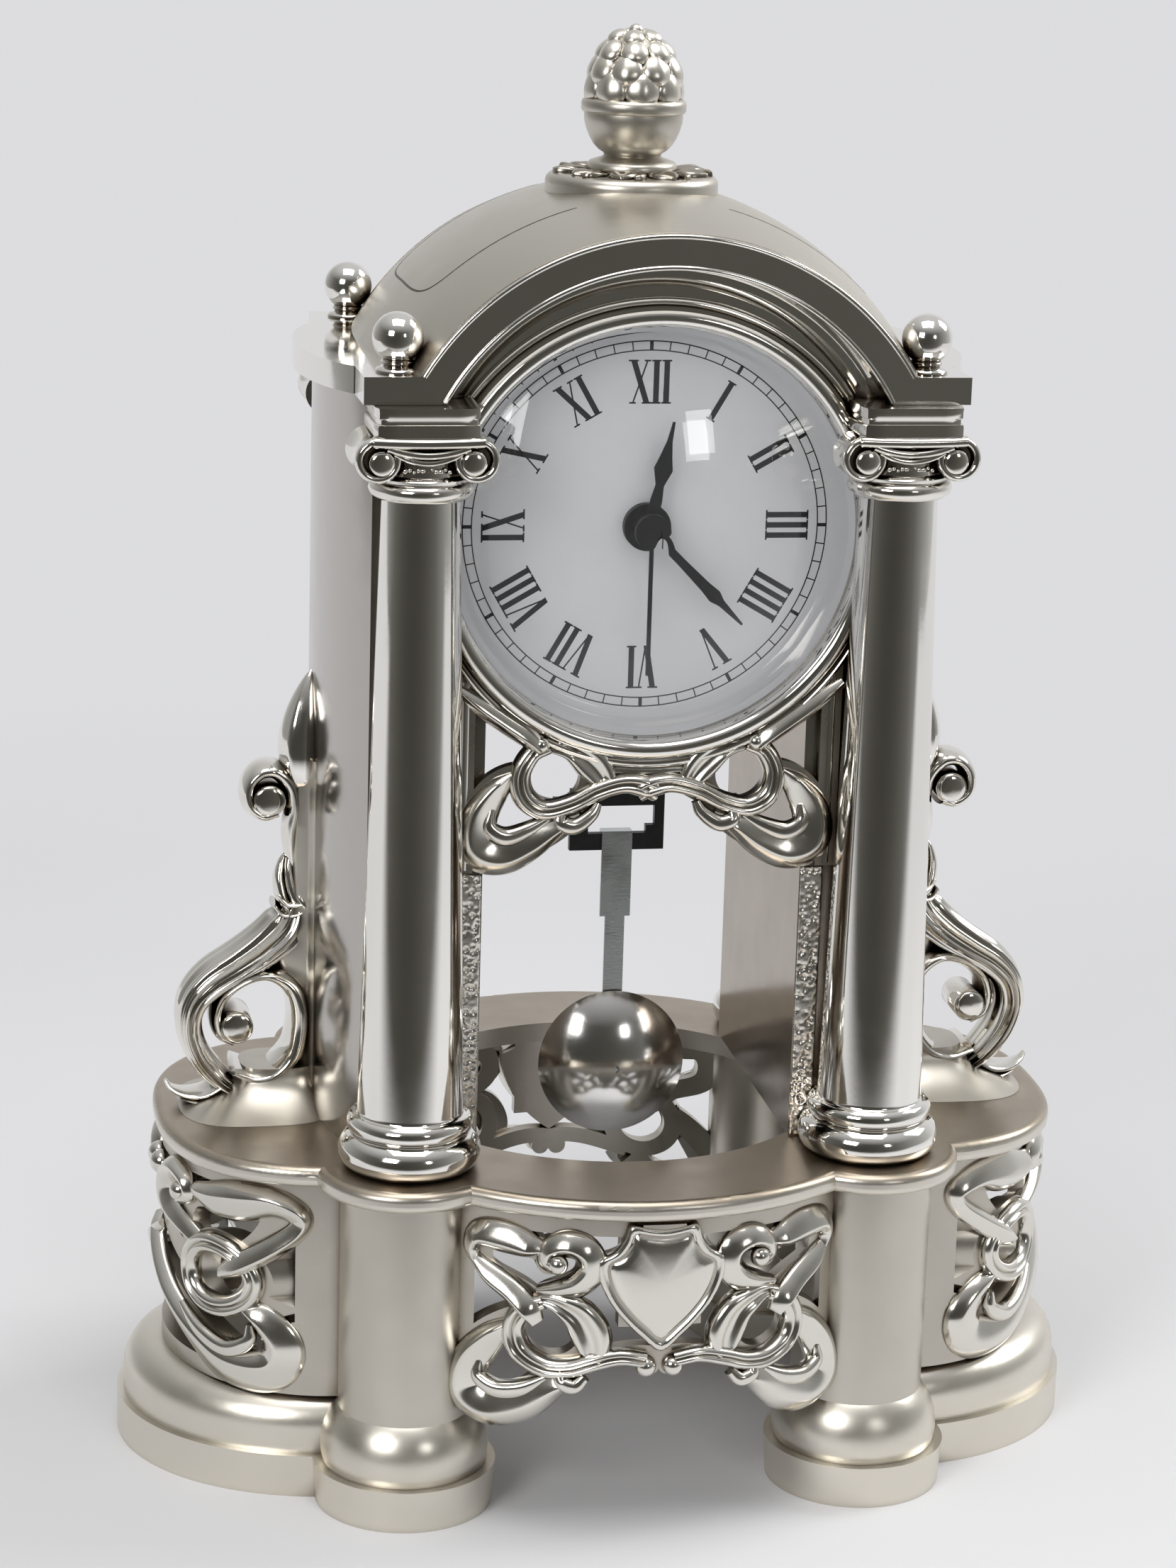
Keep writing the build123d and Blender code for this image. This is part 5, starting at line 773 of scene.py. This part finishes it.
# The left bracket: upper scroll, fluted limb, lower scroll and two leaves at the foot
LIMBS = [
    (ROUND, 8, [(-56.2, 102.6, 2.4, 1.0), (-56.9, 106.6, 4.5, 2.4), (-57.1, 110.8, 6.0, 3.0),
                (-56.5, 114.8, 7.2, 3.3), (-57.2, 118.8, 8.0, 3.3), (-59.6, 121.5, 8.6, 3.2),
                (-62.4, 121.5, 9.0, 3.0), (-64.4, 119.2, 9.2, 2.8), (-64.4, 115.9, 9.2, 2.7),
                (-62.0, 113.9, 9.0, 2.6), (-59.4, 114.4, 8.8, 2.4)]),
    (FLUTED, 10, [(-55.2, 99.4, 4.0, 2.4), (-56.0, 97.2, 7.0, 5.2), (-57.6, 93.4, 10.5, 8.2),
                  (-61.3, 90.0, 12.5, 7.8), (-65.8, 87.0, 13.5, 7.0), (-70.6, 84.0, 14.0, 6.4),
                  (-73.7, 80.5, 14.0, 5.5), (-74.6, 76.0, 13.5, 4.8), (-73.3, 71.3, 13.0, 4.4),
                  (-70.7, 67.4, 12.0, 4.2), (-67.6, 64.6, 11.0, 3.2), (-64.4, 63.6, 9.0, 2.4)]),
    (ROUND, 8, [(-67.0, 68.0, 13.0, 2.0), (-63.2, 66.7, 13.0, 2.7), (-59.6, 67.4, 13.0, 3.4),
                (-56.5, 70.6, 12.5, 4.2), (-55.4, 75.0, 12.0, 4.4), (-55.5, 79.4, 12.0, 4.2),
                (-57.2, 83.2, 11.5, 3.6), (-60.8, 85.2, 11.0, 2.8), (-64.8, 84.4, 10.5, 2.5),
                (-68.4, 81.6, 10.0, 2.5), (-69.8, 78.0, 9.5, 2.6), (-69.2, 74.6, 9.0, 2.6),
                (-66.8, 73.0, 8.4, 2.4)]),
    (ROUND, 8, [(-68.4, 65.2, 9.0, 2.2), (-71.8, 63.2, 8.0, 2.0), (-75.2, 63.0, 6.0, 1.6),
                (-77.6, 64.0, 3.4, 1.1), (-78.6, 65.4, 1.2, 0.6)]),
    (ROUND, 8, [(-66.0, 63.6, 13.0, 1.8), (-69.6, 62.0, 11.0, 1.7), (-73.2, 61.9, 8.0, 1.3),
                (-76.0, 62.3, 4.0, 0.9)]),
]
ROLLED_ENDS = [(-61.0, 116.6, 2.9, 4.4), (-66.4, 75.9, 2.9, 5.0)]
NECK_LEAVES = [(-58.0, 97.8, 7.0, 8.6), (-56.4, 98.6, 7.0, 10.0), (-55.0, 98.0, 8.0, 6.0)]
NECK_TIES = [(-57.0, 96.6), (-56.3, 98.4)]


def bracket(shape):
    for kind, per, points in LIMBS:
        strap(shape, points, kind, per)
    for x, z, r, half in ROLLED_ENDS:
        roll(shape, x, z, r, half)
    for x, z, w, h in NECK_LEAVES:
        strap(shape, [(x + 1.6, z - 2.2, w * 0.8, 1.6), (x, z, w, 2.6), (x - 0.9, z + h * 0.45, w * 0.7, 2.2),
                      (x - 0.6, z + h * 0.8, w * 0.35, 1.2), (x + 0.2, z + h, w * 0.1, 0.5)], ROUND, 6)
    for x, z in NECK_TIES:
        strap(shape, [(x - 3.0, z + 1.0, 6.4, 1.2), (x - 1.4, z - 0.6, 8.0, 1.5),
                      (x + 1.2, z - 0.6, 8.0, 1.5), (x + 2.6, z + 0.4, 6.4, 1.2)], ROUND, 5)


# Height and outer edge of the web behind the limbs, and its flare onto the wall as x and half width
WEB_EDGE = [(62.0, -58.0), (68.0, -57.0), (72.0, -55.6), (77.0, -55.2), (82.0, -56.0), (86.0, -59.0),
            (90.0, -60.0), (95.0, -57.6), (100.0, -56.6), (108.0, -56.6), (115.0, -56.4), (120.0, -56.2),
            (124.0, -55.4)]
WEB_ROOT = [(-52.6, 6.6), (-53.5, 5.6), (-53.9, 4.6), (-54.4, 3.9)]
SKIRT_X, SKIRT_H = -59.0, 7.6


def skirt(shape):
    """The swept foot on the deck and the web above it."""
    rows = []
    for t in [k / 16 for k in range(17)]:
        wide = (1 - t) ** 2.2
        row = []
        for a in turns(56):
            ca, sa = math.cos(a), math.sin(a)
            q = (abs(ca) ** 3 + abs(sa) ** 3) ** (-1 / 3)
            x = SKIRT_X - 3.6 * wide + (6.6 + 7.2 * wide) * q * ca
            row.append(Vector((x, (6.0 + 8.0 * wide) * q * sa, DECK_TOP + 0.05 + SKIRT_H * t)))
        rows.append(row)
    shape.grid(rows)
    rows = []
    for z, x in curve(WEB_EDGE, 6):
        side = WEB_ROOT + [(0.6 * x + 0.4 * WEB_ROOT[-1][0] - 0.4, 3.3), (x, 2.2), (x - 0.3, 0.8)]
        rows.append([Vector((u, -v, z)) for u, v in side] + [Vector((u, v, z)) for u, v in reversed(side)])
    shape.grid(rows)


BUD_X, BUD_Z, BUD_H, BUD_R = -53.5, 118.6, 20.6, 2.95


def bud(shape):
    rows = []
    for k in range(31):
        t = 0.994 * k / 30
        r = BUD_R * math.sin(math.pi * (0.2 + 0.8 * t ** 0.9)) ** 0.8
        row = []
        for a in turns(40):
            fold = 1 + 0.09 * math.exp(-((a - 1.3 * math.pi) / 0.16) ** 2)
            x = BUD_X - 0.55 * r + 1.4 * r * math.cos(a) * fold
            row.append(Vector((x, 1.7 * r * math.sin(a) * fold, BUD_Z + BUD_H * t)))
        rows.append(row)
    shape.grid(rows)


for name, sx in (("left", -1), ("right", 1)):
    for part, make, finish in (("scroll", bracket, ORNAMENT), ("skirt", skirt, SATIN), ("bud", bud, POLISH)):
        piece = Shape()
        make(piece)
        if sx > 0:
            for p in piece.v:
                p.x = -p.x
        commit(piece, f"{name}_bracket_{part}", finish, nodes=[name + "_bracket"])


# Scaled cone, goblet and leaf rosette of the finial

EGG = [(6.6, 236.2), (7.0, 237.6), (7.1, 239.2), (6.9, 241.0), (6.3, 243.0), (5.2, 245.2), (3.7, 247.0),
       (1.9, 248.2), (0.1, 248.6)]
# Height, count, width, length and swell of each row of scales
SCALE_ROWS = [(238.9, 8, 6.2, 6.2, 1.5), (242.0, 8, 5.6, 5.8, 1.45), (244.9, 7, 4.8, 5.0, 1.3),
              (247.2, 5, 3.8, 3.8, 1.1)]


def egg_r(z):
    for (r0, z0), (r1, z1) in zip(EGG, EGG[1:]):
        if z0 <= z <= z1:
            return r0 + (r1 - r0) * (z - z0) / (z1 - z0)
    return 0.5


def scale(shape, angle, z, w, h, thick):
    """A swollen scale on the egg, with a ridge down its middle and a blunt point at the top."""
    radial = Vector((math.cos(angle), math.sin(angle), 0))
    side = Vector((-math.sin(angle), math.cos(angle), 0))
    low, high = egg_r(max(z - h / 2, 236.3)), egg_r(min(z + h / 2, 248.5))
    up = (radial * (high - low) + Vector((0, 0, h))).normalized()
    out = side.cross(up).normalized()
    centre = radial * (egg_r(z) - 0.35) + Vector((0, 0, z))
    rows = []
    for i in range(11):
        v = -1 + 2 * min(max(i / 10, 0.01), 0.99)
        half = w / 2 * (1 - abs(v) ** 2.4) ** 0.5 * (1 - 0.22 * max(v, 0))
        swell = thick * (1 - v * v) ** 0.45 * (1.1 - 0.2 * v)
        middle = centre + up * (v * h / 2)
        row = []
        for a in turns(20):
            crest = 1 + 0.14 * math.exp(-((a - math.pi / 2) / 0.3) ** 2)
            row.append(middle + side * (half * math.cos(a)) + out * (swell * math.sin(a) * crest))
        rows.append(row)
    shape.grid(rows)


cone = Shape()
cone.lathe((0, 0, 0), EGG, 48)
for row, (z, count, w, h, thick) in enumerate(SCALE_ROWS):
    for k in range(count):
        scale(cone, 2 * math.pi * (k + 0.5 * (row % 2)) / count, z, w, h, thick)
cone.ball((0, 0, 248.3), 1.3, steps=10)
commit(cone, "finial_scales", SCALES, nodes=["finial_cone"])

# Radius and height above the disc
GOBLET = [(7.3, 0.05), (7.6, 0.35), (7.6, 1.5), (7.2, 2.0), (6.2, 2.35), (5.2, 2.65), (4.8, 3.05),
          (5.0, 3.4), (5.8, 3.9), (6.7, 4.8), (7.4, 6.0), (7.95, 7.3), (8.3, 8.6), (8.4, 9.6), (8.35, 10.1),
          (8.7, 10.25), (8.9, 10.6), (8.9, 11.6), (8.75, 12.1), (8.3, 12.5), (6.0, 12.5)]
goblet = Shape()
goblet.lathe((0, 0, DISC_TOP), GOBLET, 72)
commit(goblet, "finial_goblet", SATIN, nodes=["finial_cup"])

# A leaf and the tendril beside it, as (out, across, width, lift)
LEAVES = 9
LEAF = [(7.2, 0, 2.2, -0.1), (8.8, 0, 4.4, 0.0), (10.6, 0.2, 5.0, 0.05), (12.2, 0.3, 3.4, 0.1),
        (13.4, 0.3, 0.6, 0.2)]
TENDRIL = [(8.6, 3.4, 0.6, -0.1), (10.6, 3.6, 1.2, 0.1), (12.4, 3.4, 1.3, 0.15), (13.2, 2.6, 0.7, 0.1)]


def leaf_at(angle):
    ca, sa = math.cos(angle), math.sin(angle)

    def at(u, v, lift=0.0):
        return Vector((u * ca - v * sa, u * sa + v * ca, DISC_TOP + lift)), Vector((0, 0, 1))
    return at


rosette = Shape()
for k in range(LEAVES):
    at = leaf_at(2 * math.pi * (k + 0.25) / LEAVES)
    ribbon(rosette, at, LEAF, HOLLOW, rise=0.2, per=6)
    ribbon(rosette, at, TENDRIL, PLAIN, rise=0.4, per=5)
commit(rosette, "finial_rosette", ROSETTE)


# Lines engraved on the roof, as the angle from the crest and the place along Y

def roof_at(angle, y, lift=0.0):
    a = math.radians(angle)
    n = Vector((math.sin(a), 2 * y / ROOF_CURVE, math.cos(a))).normalized()
    r = ROOF_CREST - y * y / ROOF_CURVE
    return Vector((r * math.sin(a), y, ARCH_Z + r * math.cos(a))) + n * lift, n


LINE = [(-1, 0.0), (-0.5, 0.12), (0.5, 0.12), (1, 0.0), (0.9, -0.4), (-0.9, -0.4)]
LINE_W = 0.42
HALF_LINE = [(14.5, -19.0), (22, -19.3), (30, -19.4), (38, -19.2), (43.5, -18.4), (46.6, -15.6),
             (47.8, -10)]
ROOF_LINE = HALF_LINE + [(47.9, 0)] + [(a, -y) for a, y in reversed(HALF_LINE)]
lines = Shape()
for s in (-1, 1):
    ribbon(lines, roof_at, [(s * a, y, LINE_W, 0.0) for a, y in ROOF_LINE], LINE, rise=0.0, per=8)
commit(lines, "roof_lines", LINE_DARK)


# The roof's satin runs on over each arch to its front edge

LIP_STEPS = (33.0, 34.5, 36.0, 37.5, 38.4)
LIP_ANGLE, LIP_RISE = 59.4, 0.22
lip = Shape()
for s in (-1, 1):
    rows = []
    for k in range(97):
        a = LIP_ANGLE * (2 * k / 96 - 1)
        top = [roof_at(a, s * y, LIP_RISE)[0] for y in LIP_STEPS]
        rows.append(top + [roof_at(a, s * y, -0.2)[0] for y in (LIP_STEPS[-1], LIP_STEPS[0])])
    lip.grid(rows)
commit(lip, "roof_lips", SATIN)


# Bright rounded edges of each arch's face: radius and half angle

EDGE_ROUND = 0.42
ARCH_EDGES = [(ROOF_CREST - BLOCK_FRONT ** 2 / ROOF_CURVE - 0.2, 58.6), (ARCH_IN + 0.15, 61.0)]
beads = Shape()
for s in (-1, 1):
    for r, reach in ARCH_EDGES:
        rows = []
        for k in range(121):
            a = math.radians(reach * (k / 60 - 1))
            out = Vector((math.sin(a), 0, math.cos(a)))
            hub = Vector((0, s * (BLOCK_FRONT - 0.1), ARCH_Z)) + out * r
            rows.append([hub + EDGE_ROUND * (out * math.cos(b) + Vector((0, math.sin(b), 0)))
                         for b in turns(12)])
        beads.grid(rows)
commit(beads, "arch_edges", POLISH)


# Dial print: numerals that stand on the centre, and a minute track

INK_TOP, INK_BACK = DIAL_FACE - 0.03, DIAL_FACE + 0.01
R_IN, R_OUT = 20.6, 27.9
TRACK_IN, TRACK_OUT, TRACK_LINE = 29.5, 31.0, 0.1
THICK, THIN, SERIF = 0.95, 0.26, 0.28
WIDE_FOOT, SHORT_FOOT = 1.7, 1.1
NUMERALS = ["XII", "I", "II", "III", "IIII", "V", "VI", "VII", "VIII", "IX", "X", "XI"]
ADVANCE = {"I": 1.75, "V": 3.5, "X": 3.7}
ink = Shape()


def hour_frame(deg):
    a = math.radians(deg)
    return lambda s, r: (r * math.sin(a) + s * math.cos(a), DIAL_Z + r * math.cos(a) - s * math.sin(a))


def slab(corners):
    ink.grid([[Vector((x, y, z)) for x, z in corners] for y in (INK_TOP, INK_BACK)])


def block(place, s, w, r0, r1):
    slab([place(s - w / 2, r0), place(s + w / 2, r0), place(s + w / 2, r1), place(s - w / 2, r1)])


def stroke(place, s0, r0, s1, r1, w):
    dx, dy = s1 - s0, r1 - r0
    run = w / 2 * math.hypot(dx, dy) / max(abs(dy), 1e-6)
    slab([place(s0 - run, r0), place(s0 + run, r0), place(s1 + run, r1), place(s1 - run, r1)])


def letter(place, ch, m):
    """Draws one letter about m and gives its serifs: place, radius and width."""
    if ch == "I":
        stroke(place, m, R_IN, m, R_OUT, THICK)
        return [(m, R_IN, 1.62), (m, R_OUT, 1.62)]
    if ch == "V":
        stroke(place, m - 1.15, R_OUT, m + 0.1, R_IN, THICK)
        stroke(place, m + 1.25, R_OUT, m + 0.25, R_IN, THIN)
        return [(m - 1.15, R_OUT, WIDE_FOOT), (m + 1.25, R_OUT, SHORT_FOOT)]
    stroke(place, m - 1.2, R_OUT, m + 1.2, R_IN, THICK)
    stroke(place, m + 1.2, R_OUT, m - 1.2, R_IN, THIN)
    return [(m - 1.2, R_OUT, WIDE_FOOT), (m + 1.2, R_IN, WIDE_FOOT),
            (m + 1.2, R_OUT, SHORT_FOOT), (m - 1.2, R_IN, SHORT_FOOT)]


for hour, word in enumerate(NUMERALS):
    place = hour_frame(30 * hour)
    s = -sum(ADVANCE[ch] for ch in word) / 2
    for ch in word:
        for fs, fr, fw in letter(place, ch, s + ADVANCE[ch] / 2):
            block(place, fs, fw, fr, fr + (SERIF if fr == R_IN else -SERIF))
        s += ADVANCE[ch]
for r in (TRACK_IN, TRACK_OUT):
    line = [(r - TRACK_LINE, INK_TOP), (r + TRACK_LINE, INK_TOP),
            (r + TRACK_LINE, INK_BACK), (r - TRACK_LINE, INK_BACK)]
    ink.grid([[Vector((q * math.sin(a), y, DIAL_Z + q * math.cos(a))) for q, y in line]
              for a in turns(180)], loop=True)
for k in range(60):
    block(hour_frame(6 * k), 0, 0.6 if k % 5 == 0 else 0.2, TRACK_IN, TRACK_OUT)
commit(ink, "dial_print", INK, sharp=20)


# Floor: lit near the clock, glowing like the background further off, and fading out in front

PALE = (0.72, 0.72, 0.735)
GLOW_FROM, GLOW_FULL = 0.2, 0.6
SHEET_FULL, SHEET_END = 0.13, 0.31
TO_FRONT = (-0.25, -0.97, 0)
FLOOR_CORNERS = [(-0.7, -0.6, 0), (0.8, -0.6, 0), (4, 12, 0), (-4, 12, 0)]


def pale_floor():
    m, t, b = shader("pale_floor")
    tones = ramp(t, grain(t, 6, 3), [(0.3, (0.71, 0.71, 0.72)), (0.7, (0.73, 0.73, 0.74))])
    t.links.new(tones, b.inputs["Base Color"])
    b.inputs["Roughness"].default_value = 0.6
    b.inputs["Specular IOR Level"].default_value = 0.2
    glow = t.nodes.new("ShaderNodeEmission")
    glow.inputs["Color"].default_value = (*PALE, 1)
    clear = t.nodes.new("ShaderNodeBsdfTransparent")
    where = t.nodes.new("ShaderNodeTexCoord").outputs["Object"]
    far = map_range(t, maths(t, "VectorMath", "LENGTH", where), GLOW_FROM, GLOW_FULL, smooth=True)
    ahead = maths(t, "VectorMath", "DOT_PRODUCT", where, TO_FRONT)
    there = map_range(t, ahead, SHEET_END, SHEET_FULL, smooth=True)
    lit = mix_shader(t, far, b.outputs["BSDF"], glow.outputs["Emission"])
    sheet = mix_shader(t, there, clear.outputs["BSDF"], lit)
    t.links.new(sheet, t.nodes["Material Output"].inputs["Surface"])
    return m


sheet_mesh = bpy.data.meshes.new("floor")
sheet_mesh.from_pydata(FLOOR_CORNERS, [], [(0, 1, 2, 3)])
sheet_mesh.materials.append(pale_floor())
floor = bpy.data.objects.new("floor", sheet_mesh)
SCENE.collection.objects.link(floor)


# World: a pale background, which metal sees too, with a darker room in front of the clock

AMBIENT = (0.36, 0.36, 0.365)
TO_LIGHT = (0.42, 0.91, 0.0)
ROOM = [(0.0, (0.05, 0.048, 0.042)), (0.1, (0.075, 0.072, 0.063)), (0.25, (0.12, 0.118, 0.108)),
        (0.45, (0.23, 0.23, 0.222)), (0.62, (0.33, 0.335, 0.325)), (0.8, (0.48, 0.485, 0.48)), (0.95, PALE)]
CEILING = [(0.45, (0, 0, 0)), (0.65, (0.25, 0.25, 0.25)), (0.9, (0.62, 0.62, 0.62))]


def studio_world():
    world = bpy.data.worlds.new("studio")
    world.use_nodes = True
    t = world.node_tree
    way = t.nodes.new("ShaderNodeTexCoord").outputs["Generated"]
    bearing = maths(t, "VectorMath", "DOT_PRODUCT", way, TO_LIGHT)
    room = ramp(t, map_range(t, bearing, -1.0, 1.0), ROOM)
    mirrored = mix_colour(t, ramp(t, axes_of(t, way)["Z"], CEILING), room, PALE)
    ray = t.nodes.new("ShaderNodeLightPath").outputs
    direct = maths(t, "Math", "MAXIMUM", ray["Is Camera Ray"], ray["Is Transmission Ray"])
    seen = maths(t, "Math", "MAXIMUM", direct, ray["Is Glossy Ray"])
    shown = mix_colour(t, direct, mirrored, PALE)
    t.links.new(mix_colour(t, seen, AMBIENT, shown), t.nodes["Background"].inputs["Color"])
    return world


SCENE.world = studio_world()


# Lamps, in metres and watts

def softbox(name, place, aim, size, power):
    lamp = bpy.data.lights.new(name, "AREA")
    lamp.shape = "RECTANGLE"
    lamp.size, lamp.size_y = size
    lamp.energy = power
    o = bpy.data.objects.new(name, lamp)
    o.location = place
    o.rotation_euler = (Vector(aim) - Vector(place)).to_track_quat("-Z", "Y").to_euler()
    SCENE.collection.objects.link(o)


softbox("key", place=(1.2, 0.25, 1.1), aim=(0, 0, 0.1), size=(0.7, 0.7), power=10)
softbox("fill", place=(-0.72, -0.85, 0.66), aim=(0, 0, 0.14), size=(0.45, 0.4), power=5.5)
softbox("window", place=(0.42, -1.05, 0.5), aim=(0, 0, 0.17), size=(0.14, 0.22), power=0.7)
softbox("top", place=(-0.05, -0.3, 1.5), aim=(0, -0.05, 0.1), size=(1.0, 0.8), power=9.5)


# Camera at the photograph's place and angle

EYE = (-0.12722, -0.6328, 0.28594)
YAW, PITCH, TILT = (math.radians(v) for v in (10.95, -14.17, 1.7))


def photo_camera():
    ahead = Vector((math.sin(YAW) * math.cos(PITCH), math.cos(YAW) * math.cos(PITCH), math.sin(PITCH)))
    level = Vector((math.cos(YAW), -math.sin(YAW), 0))
    rise = level.cross(ahead)
    right = level * math.cos(TILT) + rise * math.sin(TILT)
    up = rise * math.cos(TILT) - level * math.sin(TILT)
    cam = bpy.data.cameras.new("camera")
    cam.sensor_fit = "VERTICAL"
    cam.sensor_height = 36.0
    cam.lens = 86.81
    cam.shift_x, cam.shift_y = 0.0008, -0.0194
    o = bpy.data.objects.new("camera", cam)
    o.matrix_world = Matrix.Translation(Vector(EYE)) @ Matrix((right, up, -ahead)).transposed().to_4x4()
    SCENE.collection.objects.link(o)
    return o


SCENE.camera = photo_camera()
SCENE.view_settings.view_transform = "Standard"
